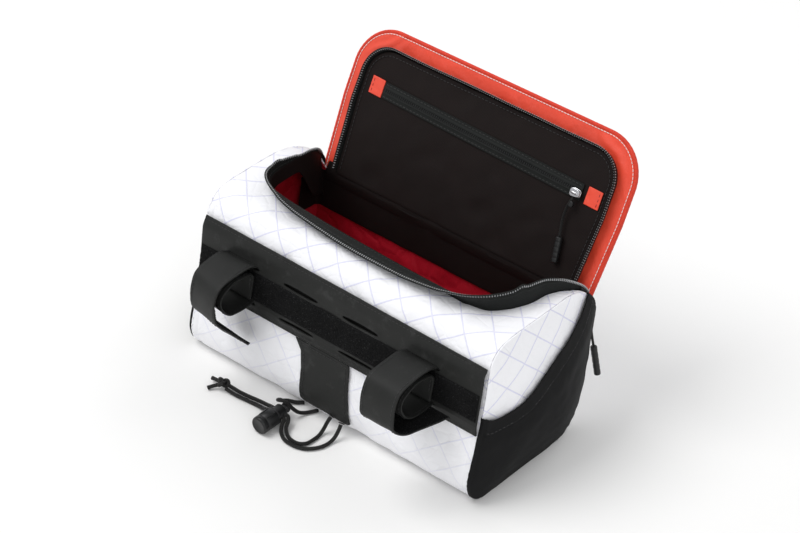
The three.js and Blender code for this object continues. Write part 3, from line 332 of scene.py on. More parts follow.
def bent(w, *corners):
    """Cubic between the first and last of four corners, w from 0 to 1."""
    shares = (1 - w) ** 3, 3 * w * (1 - w) ** 2, 3 * w**2 * (1 - w), w**3
    return sum(share[..., None] * corner for share, corner in zip(shares, corners))


def waves(p, size, seed, sharp=0.0):
    """Soft waves in space from -1 to 1: the mean of twelve sines in fixed directions, and
    with sharp above 0 part of it folded at 0 so that it creases."""
    rng = np.random.RandomState(seed)
    ways = unit(rng.normal(size=(12, 3))) * 2 * np.pi / (size * rng.uniform(0.7, 1.6, (12, 1)))
    total = np.sin(p @ ways.T + rng.uniform(0, 2 * np.pi, 12)).sum(-1) / 4
    return (1 - sharp) * total + sharp * (1 - 2 * np.abs(total))


# The body's shape


def outline(k, off=0.0):
    """Side view: the closed curve at row number k, moved off along its normal."""
    k = np.asarray(k, float)
    p = spline(OUTLINE, k, True)
    go = unit(spline(OUTLINE, k + 0.002, True) - spline(OUTLINE, k - 0.002, True))
    return p[..., 0] + off * go[..., 1], np.maximum(p[..., 1], 0) - off * go[..., 0]


def side_view(k):
    """The outline's points at its row numbers."""
    return stacked(*outline(k))


def even_rows(first, last, fine, count):
    """Row numbers an even length apart round the outline."""
    k = np.linspace(first, last, fine)
    far = travelled(side_view(k))
    return np.interp(np.linspace(0, far[-1], count), far, k)


def lifted(z, s):
    """Height times 1 + lift(s) (z/height)^4: the top rises towards the left end."""
    return z * (1 + np.interp(s, np.linspace(-1, 1, len(LIFT)), LIFT) * (z / BAG_HEIGHT) ** LIFT_FADE)


def taper(y):
    return END_TAPER * smooth(0.6, 1, (y - HEEL_Y) / BAG_DEPTH)


def body(s, k, off=0.0, inset=0.0):
    """The wrap at s from end to end and row k, moved off outwards."""
    y, z = outline(k, off)
    return stacked(s * (HALF - taper(y) - inset), y, lifted(z, s))


def end_wall(side, rho, k, off=0.0, beyond=0.0):
    """End panel: from its middle at rho 0 to the outline at rho 1, bulging as 1 - rho^2."""
    y, z = outline(k, off)
    y = END_MIDDLE[0] + rho * (y - END_MIDDLE[0])
    z = END_MIDDLE[1] + rho * (z - END_MIDDLE[1])
    return stacked(side * (HALF - taper(y) + beyond + END_BULGE * (1 - rho**2)), y, lifted(z, side))


ROUND = side_view(np.linspace(0, TURN, 721)[:-1]) - END_MIDDLE
ANGLES = np.arctan2(ROUND[:, 1], ROUND[:, 0])


def end_face(y, z):
    """How far out the end panel's face stands at y and z of its plane."""
    dy, dz = y - END_MIDDLE[0], z - END_MIDDLE[1]
    order = np.argsort(ANGLES)
    reach = np.linalg.norm(ROUND, axis=1)[order]
    edge = np.interp(np.arctan2(dz, dy), ANGLES[order], reach, period=2 * np.pi)
    rho = np.minimum(1, np.hypot(dy, dz) / edge)
    return HALF - taper(y) + GAP / 2 + CLOTH + END_BULGE * (1 - rho**2)


TOP_K = np.linspace(HINGE, TURN + TOP_SEAM, 400)
TOP_Y, TOP_Z = outline(TOP_K)


def row_at(y):
    """Row number on the top side where the outline stands at y."""
    return np.interp(-np.asarray(y), -TOP_Y, TOP_K)


def rim(t):
    """Rim of the opening, 0 at the left of the hinge to 1 at its right: place and way out."""
    table = RIM[:, :2] * (HALF, BAG_DEPTH) + (0, HEEL_Y)
    t = np.asarray(t, float) * RIM_STEPS
    p = spline(table, t)
    go = unit(spline(table, np.minimum(t + 0.01, RIM_STEPS)) - spline(table, np.maximum(t - 0.01, 0)))
    z = lifted(np.interp(-p[..., 1], -TOP_Y, TOP_Z), p[..., 0] / HALF)
    return stacked(p[..., 0], p[..., 1], z), stacked(go[..., 1], -go[..., 0], 0)


def collar(t, h, out=0.0):
    """Standing zip tape: the rim carried up a leaning line whose angle grows with h from
    the tape's foot at 0 to its edge at 1; below 0 it goes straight down inside."""
    place, away = rim(t)
    lean, high = np.moveaxis(spline(RIM[:, 2:], np.asarray(t, float) * RIM_STEPS), -1, 0)
    lean = np.radians(lean)
    h = np.broadcast_to(np.asarray(h, float), lean.shape)
    rise = np.maximum(h, 0)
    mean = lean * (0.735 + 0.23 * rise)
    angle = lean * (0.735 + 0.46 * rise)
    reach = (COLLAR_HEIGHT * high * rise)[..., None]
    p = place + UP * (RIM_CLEAR + 0.8 + np.minimum(h, 0) * 6 * high)[..., None]
    p = p + reach * (away * np.sin(mean)[..., None] + UP * np.cos(mean)[..., None])
    face = away * np.cos(angle)[..., None] - UP * np.sin(angle)[..., None]
    return p + np.asarray(out, float)[..., None] * face


def standoff(down):
    return PANEL_SEAM + PANEL_STANDOFF * inside(down, 6.5)


def panel(s, down, out=0.0):
    """Rear panel's back: straight down between two rows of the outline, stood off between
    its seams."""
    return body(s, PANEL_TOP + (PANEL_FOOT - PANEL_TOP) * np.asarray(down, float), standoff(down) + out, GAP)


PANEL_HEIGHT = float(np.linalg.norm(OUTLINE[PANEL_FOOT] - OUTLINE[PANEL_TOP]))
SEAM_ROWS = (0.055, 0.95)


def panel_map(s, down):
    return stacked(s * HALF, -down * PANEL_HEIGHT)


def strap(side, t, across, out=0.0):
    """Strap: a curve of out, down and skew in the panel's own frame, t from 0 to 1, carried
    sideways by across from -0.5 to 0.5, and moved out along its side normal."""
    table = np.array(STRAP_INNER + STRAP_OUTER + STRAP_TAILS[side])
    t, across = np.broadcast_arrays(np.asarray(t, float) * (len(table) - 1), across)
    last = len(table) - 1
    p = spline(table, t)
    go = spline(table, np.minimum(t + 0.05, last)) - spline(table, np.maximum(t - 0.05, 0))
    go = unit(go[..., :2] * (STRAP_REACH, STRAP_DROP))
    turn = (0.5 - across) * STRAP_TURN[side] * np.maximum(0, p[..., 0] - STRAP_FLAT)
    outwards = (p[..., 0] - turn) * STRAP_REACH - go[..., 1] * out
    downwards = p[..., 1] * STRAP_DROP + go[..., 0] * out
    x = SLOT_COLUMNS[0 if side == "left" else 3] * SLOT_PITCH
    top, foot = body(x / HALF, PANEL_TOP), body(x / HALF, PANEL_FOOT)
    down = unit((foot - top) * (0, 1, 1))
    way = np.array([0, down[2], -down[1]])
    origin = np.array([x, top[1], top[2]])
    sideways = (across + p[..., 2])[..., None] * STRAP_WIDTH * SIDE
    return origin + sideways + way * outwards[..., None] + down * downwards[..., None]


def tongue(down, across, out=0.0):
    """Tongue over the heel: left and right edges follow its table, across from 0 to 1."""
    down = np.asarray(down, float)
    edges = np.stack([np.interp(down, TONGUE[:, 0], TONGUE[:, i]) for i in (1, 2)])
    x = (edges[0] + (edges[1] - edges[0]) * across) * TONGUE_WIDTH
    foot = HEEL + TONGUE_FOOT
    return body(x / HALF, PANEL_FOOT + 0.02 + (foot - PANEL_FOOT - 0.02) * down, PANEL_SEAM + out)


def side_pocket(side, u, v, out=0.0):
    """Side pocket: from the hem at v 0 to the outline at v 1, u from rear to front, on the
    end panel's face with a swell of sin(pi u) sin(pi v)."""
    hem = spline(HEM, np.asarray(u, float) * (len(HEM) - 1))
    foot = side_view(HEM_REAR + (HEM_FRONT - HEM_REAR) * np.asarray(u, float))
    p = hem + (foot - hem) * np.asarray(v, float)[..., None]
    p = END_MIDDLE + (p - END_MIDDLE) * POCKET_INSIDE
    y, z = p[..., 0], p[..., 1]
    swell = POCKET_SWELL * np.sin(np.pi * u) * np.sin(np.pi * v)
    return stacked(side * (end_face(y, z) + POCKET_EASE + swell + out), y, lifted(z, side))


def lid(across, up, out=0.0):
    """Lid's own frame: across, up from the hinge and out of its inner face, bowed as
    (1 - a^2) sin(pi up)."""
    across, up, out = np.broadcast_arrays(*(np.asarray(v, float) for v in (across, up, out)))
    bow = LID_BOW * (1 - (2 * across / LID_WIDTH) ** 2) * np.sin(np.pi * up / LID_HEIGHT)
    n = out - bow
    c, s = np.cos(LID_SLOPE), np.sin(LID_SLOPE)
    return stacked(across, HINGE_Y + up * c - n * s, HINGE_Z + up * s + n * c)


def lid_half(up):
    return (LID_HINGE_WIDTH + (LID_WIDTH - LID_HINGE_WIDTH) * np.minimum(1, 2 * np.asarray(up) / LID_HEIGHT)) / 2


def lid_rows(inset, corner, start, sides, arc):
    """Heights up the lid and its half width at each, round the corners at the top."""
    shoulder = LID_HEIGHT - inset - corner
    a = np.linspace(0, np.pi / 2, arc)
    up = np.concatenate([np.linspace(start, shoulder, sides)[:-1], shoulder + corner * np.sin(a)])
    wide = lid_half(up) - inset - np.concatenate([np.zeros(sides - 1), corner * (1 - np.cos(a))])
    return up, wide


def lid_grid(inset, corner, start, sides, arc, columns):
    """Across and up over the lid's face, and how far from the middle each column is."""
    up, wide = lid_rows(inset, corner, start, sides, arc)
    share = np.linspace(-1, 1, columns)
    return wide[:, None] * share, up[:, None] + 0 * share, np.abs(share)


def lid_edge(t, inset, corner, start=GAP):
    """A line inside the lid's edge, t from 0 at the left of the hinge to 1 at its right:
    two sides and a top joined by quarter rounds. Gives across, up and the way out of it."""
    ups, x = lid_rows(inset, corner, start, 30, 25)
    flat = np.linspace(-1, 1, 60)[1:-1] * x[-1]
    line = np.concatenate([stacked(-x, ups), stacked(flat, ups[-1]), stacked(x, ups)[::-1]])
    far = travelled(line)
    at = np.asarray(t, float) * far[-1]

    def place(at):
        return stacked(*(np.interp(at, far, line[:, i]) for i in (0, 1)))

    p, go = place(at), unit(place(at + 0.6) - place(at - 0.6))
    return p[..., 0], p[..., 1], -go[..., 1], go[..., 0]


def pocket_top(across, up):
    share = across / (lid_half(up) - POCKET_INSET)
    puff = POCKET_PUFF * np.sin(np.pi * up / (LID_HEIGHT - POCKET_INSET)) * (1 - share**2)
    return POCKET_BASE + POCKET_CLEAR + puff


def on_pocket(across, up, out=0.0):
    """A place on the lid pocket's face, out from it."""
    across, up = np.broadcast_arrays(np.asarray(across, float), np.asarray(up, float))
    return lid(across, up, pocket_top(across, up) + out)


def zip_middle(across):
    return ZIP_LEFT + (ZIP_RIGHT - ZIP_LEFT) * (np.asarray(across) + LID_WIDTH / 2) / LID_WIDTH


# Making meshes


def grid(points, uv=None, flip=False, wrap=False):
    """Quads between the neighbours of a grid of points; faces look along the first
    parameter's way crossed with the second's, or against it."""
    m, n = points.shape[:2]
    index = np.arange(m * n).reshape(m, n)
    if wrap:
        index = np.hstack([index, index[:, :1]])
    a, b, c, d = index[:-1, :-1], index[1:, :-1], index[1:, 1:], index[:-1, 1:]
    quads = np.stack([a, d, c, b] if flip else [a, b, c, d], -1).reshape(-1, 4)
    if uv is None:
        uv = stacked(travelled(points[:, n // 2])[:, None], travelled(points[m // 2]))
    return points.reshape(-1, 3), quads, np.asarray(uv, float).reshape(-1, 2)


def along_map(points, column, across):
    """A flat map: the length along one column of a grid of points, by a second number."""
    return stacked(travelled(points[:, column])[:, None], across)


def joined(shapes):
    """Several meshes as one."""
    shift = np.cumsum([0] + [len(s[0]) for s in shapes[:-1]])
    return (np.vstack([s[0] for s in shapes]), np.vstack([s[1] + k for s, k in zip(shapes, shift)]),
            np.vstack([s[2] for s in shapes]))


def repeated(shape, p, go, out):
    """One small mesh set at many places: its x along go, its z along out, its y across."""
    side = np.cross(out, go)
    v, quads, uv = shape
    verts = p[:, None] + sum(v[:, i, None] * way[:, None] for i, way in enumerate((go, side, out)))
    shift = (np.arange(len(p)) * len(v))[:, None, None]
    return verts.reshape(-1, 3), (quads[None] + shift).reshape(-1, 4), np.tile(uv, (len(p), 1))


def carried(path, profile, ups=None, scale=None, capped=True):
    """A closed profile of rows (side, up) carried along a path on frames that turn no more
    than the path does; both ends close on their middles."""
    path = np.asarray(path, float)
    go = unit(np.gradient(path, axis=0))
    if ups is None:
        seed = np.cross(go[0], UP if abs(go[0][2]) < 0.9 else SIDE)
        up = np.cross(seed, go[0])
        rows = []
        for way in go:
            up = unit(up - way * (up @ way))
            rows.append(up)
        ups = np.array(rows)
    side = np.cross(go, ups)
    scale = np.ones(len(path)) if scale is None else np.asarray(scale, float)
    profile = np.asarray(profile, float)
    ring = profile[None] * scale[:, None, None]
    points = path[:, None] + ring[..., :1] * side[:, None] + ring[..., 1:] * ups[:, None]
    if capped:
        mid = path[[0, -1]][:, None] + np.zeros((2, len(profile), 3))
        points = np.concatenate([mid[:1], points, mid[1:]])
    uv = stacked(travelled(points.mean(1))[:, None], np.linspace(0, 1, len(profile), endpoint=False))
    return grid(points, uv, wrap=True)


def circle(count):
    """Angles once round, without the last."""
    return np.linspace(0, 2 * np.pi, count, endpoint=False)


def ring_of(radius, sides, flat=1.0):
    """Points round an ellipse."""
    a = circle(sides)
    return stacked(radius * np.cos(a), radius * flat * np.sin(a))


def turned(profile, foot, head, sides=40):
    """A profile of (radius, height) rows turned about the line from foot to head."""
    foot, head = np.asarray(foot, float), np.asarray(head, float)
    axis = unit(head - foot)
    a = unit(np.cross(axis, SIDE if abs(axis[0]) < 0.8 else UP))
    b = np.cross(axis, a)
    r, h = np.asarray(profile, float).T
    w = circle(sides)
    ring = a * np.cos(w)[:, None] + b * np.sin(w)[:, None]
    points = foot + h[:, None, None] * axis + r[:, None, None] * ring
    uv = stacked(travelled(stacked(r, h))[:, None], w * max(r))
    return grid(points, uv, flip=True, wrap=True)


def trail(place, pitch, out, beyond, start=0.0, stop=1.0):
    """Places an even pitch apart on a line place(t, out), with the way on and the way
    towards place(t, out + beyond)."""
    t = np.linspace(start, stop, 1600)
    far = travelled(place(t, out))
    count = max(2, int(far[-1] / pitch))
    at = np.interp((np.arange(count) + 0.5) * far[-1] / count, far, t)
    step = (stop - start) * 5e-4
    p = place(at, out)
    go = unit(place(at + step, out) - place(at - step, out))
    away = place(at, out + beyond) - p
    return p, go, unit(away - go * (away * go).sum(-1, keepdims=True))


def capsule(length, width, height, sides=6):
    """A short rod with rounded ends along x."""
    share = np.array([-1, -0.82, -0.4, 0.4, 0.82, 1.0])[:, None]
    size = np.array([0, 0.66, 1, 1, 0.66, 0.0])[:, None] / 2
    a = circle(sides)
    points = stacked(share * length / 2, size * np.cos(a) * width, size * np.sin(a) * height)
    return grid(points, wrap=True, flip=True)


def stitches(place, out, beyond=1.0, start=0.0, stop=1.0, gap=1.33):
    """A row of stitches on a line: capsules, each a gap of its length from the one before,
    half sunk into the cloth."""
    sizes = bpy.context.scene.bag_sizes
    length, thread = sizes.stitch / MM, sizes.thread / MM
    p, go, out = trail(place, length * gap, out, beyond, start, stop)
    return repeated(capsule(length, thread * 1.3, thread), p + out * thread * 0.2, go, out)


def teeth(place, size, out, beyond):
    """Zip teeth: short rods across a line at the tooth pitch."""
    v, quads, uv = capsule(*size)
    across = stacked(-v[:, 1], v[:, 0], v[:, 2]), quads, uv
    return repeated(across, *trail(place, bpy.context.scene.bag_sizes.tooth_pitch / MM, out, beyond))


WELD, SHARP = 0.002, np.radians(48)  # doubles closer than this merge; corners sharper than this are rounded


def make(name, shapes, look, stands_for="", solid=0.0, towards=-1.0, bevel=0.0, slot=""):
    """One object from meshes in millimetres: doubles are merged, a sheet gets its wall by
    Solidify and its edges are rounded by Bevel."""
    verts, quads, uv = joined(shapes) if isinstance(shapes, list) else shapes
    mesh = bpy.data.meshes.new(name)
    mesh.from_pydata((verts + SHIFT) * MM, [], quads)
    layer = mesh.uv_layers.new(name="Flat")
    loops = np.empty(len(mesh.loops), dtype=np.int32)
    mesh.loops.foreach_get("vertex_index", loops)
    layer.data.foreach_set("uv", (uv[loops] * MM).astype(np.float32).ravel())
    work = bmesh.new()
    work.from_mesh(mesh)
    bmesh.ops.remove_doubles(work, verts=work.verts, dist=WELD * MM)
    bmesh.ops.dissolve_degenerate(work, edges=work.edges, dist=1e-8)
    work.to_mesh(mesh)
    work.free()
    mesh.polygons.foreach_set("use_smooth", np.full(len(mesh.polygons), True))
    mesh.materials.append(finish(look))
    obj = bpy.data.objects.new(name, mesh)
    bpy.context.collection.objects.link(obj)
    if solid:
        wall = obj.modifiers.new("Wall", "SOLIDIFY")
        wall.thickness = solid * MM
        wall.offset = towards
    if bevel:
        edge = obj.modifiers.new("Edge", "BEVEL")
        edge.width = bevel * MM
        edge.segments = 2
        edge.limit_method = "ANGLE"
        edge.angle_limit = SHARP
    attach(obj, "root")
    slot or LOOKS[look][1]
    if stands_for:
        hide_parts(stands_for)
    return obj


def run(row):
    """A row of parameters as it is, or even steps where it is (first, last, count)."""
    return np.linspace(*row) if isinstance(row, tuple) else row


def runs(*rows):
    """Several rows as one that rises, without doubles."""
    return np.unique(np.concatenate([run(row) for row in rows]))


def mesh_of(*rows):
    """Rows of parameters as one grid of each."""
    return np.meshgrid(*(run(row) for row in rows), indexing="ij")


# Materials


class Wire:
    """A socket that adds a Math node to its tree for each operation on it."""

    def __init__(self, look, socket):
        self.look, self.socket = look, socket

    def math(self, kind, *others):
        return self.look.node("ShaderNodeMath", {"operation": kind}, dict(enumerate((self, *others))))

    def __rsub__(self, other):
        return self.look.node("ShaderNodeMath", {"operation": "SUBTRACT"}, {0: other, 1: self})

    def between(self, low, high):
        """0 at low to 1 at high, smoothly; high may be below low."""
        if high < low:
            return 1 - self.between(high, low)
        ends = {"Value": self, "From Min": low, "From Max": high}
        return self.look.node("ShaderNodeMapRange", {"interpolation_type": "SMOOTHSTEP"}, ends)


for name, kind in {
    "__add__": "ADD", "__radd__": "ADD", "__sub__": "SUBTRACT", "__mul__": "MULTIPLY", "__rmul__": "MULTIPLY",
    "__truediv__": "DIVIDE", "sin": "SINE", "size": "ABSOLUTE", "part": "FRACT", "most": "MAXIMUM",
    "least": "MINIMUM",
}.items():
    setattr(Wire, name, lambda self, *others, kind=kind: self.math(kind, *others))


class Look:
    """One material: nodes by type, settings and inputs, ending in a Principled shader."""

    def __init__(self, name):
        self.material = bpy.data.materials.new(name)
        self.material.use_nodes = True
        self.tree = self.material.node_tree
        self.shader = self.tree.nodes["Principled BSDF"]

    def node(self, kind, settings=None, inputs=None, out=0):
        node = self.tree.nodes.new(kind)
        for key, value in (settings or {}).items():
            setattr(node, key, value)
        for key, value in (inputs or {}).items():
            if isinstance(value, Wire):
                self.tree.links.new(value.socket, node.inputs[key])
            else:
                node.inputs[key].default_value = value
        return Wire(self, node.outputs[out])

    def places(self):
        """Object coordinates."""
        return self.node("ShaderNodeTexCoord", out="Object")

    def flat(self):
        """The piece's own map: metres along its two parameters."""
        return self.node("ShaderNodeUVMap", {"uv_map": "Flat"})

    def parts(self, vector):
        split = self.node("ShaderNodeSeparateXYZ", {}, {0: vector})
        node = split.socket.node
        return [Wire(self, node.outputs[i]) for i in range(3)]

    def join(self, *values):
        return self.node("ShaderNodeCombineXYZ", {}, dict(enumerate(values)))

    def grain(self, scale, detail=2.0, rough=0.5, stretch=None):
        """Noise in lumps of 1 / scale metres."""
        at = self.places()
        if stretch:
            at = self.node("ShaderNodeVectorMath", {"operation": "MULTIPLY"}, {0: at, 1: stretch})
        inputs = {"Vector": at, "Scale": scale, "Detail": detail, "Roughness": rough}
        return self.node("ShaderNodeTexNoise", {}, inputs)

    def cells(self, scale, feature="F1"):
        return self.node("ShaderNodeTexVoronoi", {"feature": feature}, {"Vector": self.places(), "Scale": scale})

    def mix(self, share, a, b):
        a, b = (v if isinstance(v, Wire) else (*v, 1) for v in (a, b))
        return self.node("ShaderNodeMix", {"data_type": "RGBA"}, {0: share, 6: a, 7: b}, out=2)

    def shade(self, colour, by):
        """A colour times a number that varies."""
        colour = colour if isinstance(colour, Wire) else (*colour,)
        return self.node("ShaderNodeVectorMath", {"operation": "MULTIPLY"}, {0: colour, 1: self.join(by, by, by)})

    def bumped(self, height, distance, strength=1.0, under=None):
        inputs = {"Height": height, "Distance": distance, "Strength": strength}
        if under:
            inputs["Normal"] = under
        return self.node("ShaderNodeBump", {}, inputs)

    def finish(self, colour, rough, normal=None, **fixed):
        """Colour, Roughness and Normal may vary; what is fixed goes on the shader's sockets."""
        for key, value in (("Base Color", colour), ("Roughness", rough), ("Normal", normal)):
            if isinstance(value, Wire):
                self.tree.links.new(value.socket, self.shader.inputs[key])
            elif value is not None:
                self.shader.inputs[key].default_value = (*value, 1) if key == "Base Color" else value
        for key, value in fixed.items():
            self.shader.inputs[key.replace("_", " ")].default_value = value
        return self.material


FINISHES = {}


def finish(look):
    """The material of a look, made once."""
    if look not in FINISHES:
        FINISHES[look] = LOOKS[look][0](bpy.context.scene.bag_colours)
    return FINISHES[look]


def woven(look, vector, pitch):
    """Height of a plain weave: two sets of yarns that take turns on top."""
    u, v, _ = look.parts(vector)
    step = 2 * np.pi / pitch
    return (u * step).sin() * 0.5 + (v * step).sin() * 0.5 + (u * step).sin() * (v * step).sin()


# Each family of yarns: the way across them, their spacing and where the first one lies
YARNS = (((0.703, 0.711), 0.0215, 0.00822), ((-0.596, 0.803), 0.0182, 0.00424))


def grid_lines(look, vector, width, phases=(0.0, 0.0)):
    """Two families of straight yarns that cross in diamonds: near a whole number of
    spacings along each family's own direction."""
    u, v, _ = look.parts(vector)
    wander = (look.grain(60, 1) - 0.5) * 0.0008
    lines = []
    for (way, spacing, first), phase in zip(YARNS, phases):
        place = (u * way[0] + v * way[1] + wander + first + phase) / spacing
        near = (place.part() - 0.5).size() * -1 + 0.5
        lines.append((near * spacing).between(width, width * 0.35))
    return lines[0].most(lines[1])


def white_cloth(name, phases, light=0.955):
    def make_look(colours):
        look = Look(name)
        at = look.flat()
        lines = grid_lines(look, at, 0.00075, phases)
        mottle = look.grain(35, 4)
        dirt = look.grain(9, 3)
        # Painted light: towards the bottom the yarn lines fade to a third, the lower cloth drawn washed out by bright
        # light.
        low = look.parts(look.places())[2].between(0.015, 0.08) * 0.65 + 0.35
        colour = look.mix(lines * low * (look.grain(700, 2) * 0.7 + 0.45), colours.cloth, colours.yarn)
        colour = look.shade(colour, light + mottle * 0.06 + dirt * 0.03)
        crinkle = look.cells(95, "DISTANCE_TO_EDGE").least(0.12) * 3 + look.grain(75, 3, rough=0.6)
        under = look.bumped(crinkle, 0.0009, 0.55)
        weave = woven(look, at, 0.0011) * 0.3 + lines * 1.6
        normal = look.bumped(weave, 0.00012, 0.7, under)
        return look.finish(
            colour, 0.42 + mottle * 0.14, normal, Coat_Weight=0.1, Coat_Roughness=0.3)

    return make_look


def body_lining(colours):
    look = Look("Red lining")
    at = look.flat()
    soft = look.grain(40, 4)
    colour = look.shade(colours.lining, 0.75 + soft * 0.5)
    crinkle = look.cells(60, "DISTANCE_TO_EDGE").least(0.15) * 3 + look.grain(55, 3)
    normal = look.bumped(woven(look, at, 0.0009), 0.0001, 0.5, look.bumped(crinkle, 0.0014, 0.7))
    return look.finish(colour, 0.36 + soft * 0.15, normal, Coat_Weight=0.15)


def lid_lining(colours):
    look = Look("Orange lining")
    at = look.flat()
    soft = look.grain(30, 4)
    crease_height_and_shade = look.grain(45, 3, stretch=(1, 0.35, 1), rough=0.6)
    # The crease noise also shades the colour from 0.86 to 1.1: painted shade in the creases, besides their bump.
    colour = look.shade(look.mix(soft * 0.3, colours.lid, (0.7, 0.05, 0.03)), 0.86 + crease_height_and_shade * 0.24)
    normal = look.bumped(woven(look, at, 0.0009), 0.0001, 0.45, look.bumped(crease_height_and_shade, 0.003, 0.6))
    return look.finish(colour, 0.4 + soft * 0.12, normal, Coat_Weight=0.1)


def edge_binding(colours):
    look = Look("Red binding")
    rib = (look.parts(look.flat())[0] * (2 * np.pi / 0.0011)).sin()
    soft = look.grain(120, 3)
    colour = look.shade(colours.binding, 0.72 + soft * 0.4 + rib * 0.09)
    return look.finish(colour, 0.62, look.bumped(rib + soft, 0.00014, 0.7), Specular_IOR_Level=0.25)


def zip_tape(colours):
    look = Look("Black zip tape")
    u, v, _ = look.parts(look.flat())
    rib = (v * (2 * np.pi / 0.0012)).sin()
    chain = (u * (2 * np.pi / 0.0009)).sin()
    soft = look.grain(150, 3)
    colour = look.shade(colours.tape, 0.7 + soft * 0.55 + rib * 0.12)
    normal = look.bumped(rib * 0.7 + chain * 0.3, 0.00014, 0.7, look.bumped(soft, 0.0003, 0.4))
    return look.finish(colour, 0.52 + soft * 0.2, normal, Specular_IOR_Level=0.16)


def speckled(name, base, scale, low, span, rough, rough_span, strength, **fixed):
    """A plain material whose one fine grain varies its colour, roughness and height."""
    def make_look(colours):
        look = Look(name)
        fine = look.grain(scale, 2)
        colour = look.shade(base, low + fine * span)
        rough_now = rough + fine * rough_span if rough_span else rough
        return look.finish(colour, rough_now, look.bumped(fine, 0.00005, strength), **fixed)

    return make_look


def sewing_thread(name, base):
    return speckled(name, base, 3000, 0.7, 0.55, 0.5, 0, 0.6)


def coated_black(colours):
    look = Look("Coated black")
    leather = look.cells(520, "DISTANCE_TO_EDGE") * 2 + look.grain(700, 3)
    soft = look.grain(22, 4)
    dust = look.grain(60, 5, rough=0.7).between(0.52, 0.75)
    colour = look.shade(look.mix(dust * 0.22, colours.panel, (0.1, 0.1, 0.1)), 0.86 + soft * 0.26)
    normal = look.bumped(leather, 0.00009, 0.5, look.bumped(look.grain(50, 3), 0.0008, 0.35))
    return look.finish(colour, 0.48 + soft * 0.14, normal, Specular_IOR_Level=0.2)


def strap_cloth(colours):
    look = Look("Strap cloth")
    at = look.flat()
    soft = look.grain(35, 4)
    dust = look.grain(90, 5, rough=0.7).between(0.55, 0.8)
    colour = look.shade(look.mix(dust * 0.2, colours.panel, (0.09, 0.09, 0.09)), 0.72 + soft * 0.4)
    normal = look.bumped(woven(look, at, 0.0008), 0.00006, 0.5, look.bumped(look.grain(60, 3), 0.0006, 0.4))
    return look.finish(colour, 0.46 + soft * 0.15, normal, Specular_IOR_Level=0.2)


def hook_pile(colours):
    look = Look("Hook and loop")
    fuzz = look.cells(900) + look.grain(1600, 2) * 0.6
    soft = look.grain(60, 3)
    # Light specks in the pile: painted glints on the loop fibres.
    light = look.grain(1100, 2, rough=0.7).between(0.6, 0.74)
    colour = look.shade(look.mix(light * 0.55, (0.006, 0.006, 0.0062), (0.11, 0.11, 0.11)), 0.7 + soft * 0.5)
    return look.finish(colour, 0.85, look.bumped(fuzz, 0.0007, 0.9), Specular_IOR_Level=0.12)


def stretch_knit(colours):
    look = Look("Stretch knit")
    u, v, _ = look.parts(look.flat())
    rows = (u * (2 * np.pi / 0.0011)).sin() * 0.6 + ((u + v) * (2 * np.pi / 0.0013)).sin() * 0.5
    soft = look.grain(45, 4)
    colour = look.shade(colours.stretch, 0.7 + soft * 0.6)
    normal = look.bumped(rows, 0.00007, 0.5, look.bumped(look.grain(38, 3), 0.0009, 0.4))
    return look.finish(colour, 0.6 + soft * 0.15, normal, Specular_IOR_Level=0.12)


def pocket_mesh(colours):
    look = Look("Pocket mesh")
    u, v, _ = look.parts(look.flat())
    step = 2 * np.pi / 0.0014
    holes = ((u * step).sin() * (v * step).sin()).between(0.15, 0.6)
    soft = look.grain(40, 4)
    colour = look.shade(look.mix(holes * 0.45, colours.mesh, (0.035, 0.009, 0.006)), 0.75 + soft * 0.5)
    normal = look.bumped(holes * -1, 0.00016, 0.6, look.bumped(look.grain(32, 3), 0.0012, 0.45))
    return look.finish(colour, 0.55 + soft * 0.15, normal, Specular_IOR_Level=0.14)


def bright_metal(colours):
    look = Look("Bright metal")
    soft = look.grain(220, 4)
    scratch = look.grain(900, 3, stretch=(1, 0.08, 1))
    colour = look.shade(colours.metal, 0.78 + soft * 0.35)
    return look.finish(colour, 0.2 + scratch * 0.2, look.bumped(scratch + soft, 0.00005, 0.5), Metallic=1.0)


def moulded(colours):
    look = Look("Black plastic")
    fine = look.grain(1800, 2)
    soft = look.grain(90, 3)
    colour = look.shade((0.012, 0.0122, 0.0125), 0.8 + soft * 0.4)
    return look.finish(colour, 0.3 + soft * 0.16, look.bumped(fine, 0.00005, 0.4), Specular_IOR_Level=0.35)


def braid(colours):
    look = Look("Black braid")
    u, v, _ = look.parts(look.flat())
    along, round_it = u * (2 * np.pi / 0.0022), v * (2 * np.pi * 8 / MM)
    strands = (along + round_it).sin() * (along - round_it).sin()
    fibre = look.grain(2200, 2)
    colour = look.shade((0.0125, 0.012, 0.0115), 0.6 + strands * 0.3 + fibre * 0.6)
    return look.finish(colour, 0.45, look.bumped(strands + fibre * 0.4, 0.00018, 0.8), Specular_IOR_Level=0.25)


def pale_floor(colours):
    look = Look("Pale floor")
    soft = look.grain(3, 3)
    colour = look.shade((0.885, 0.88, 0.868), 0.985 + soft * 0.03)
    return look.finish(colour, 0.75, look.bumped(look.grain(400, 2), 0.0001, 0.1), Specular_IOR_Level=0.1)
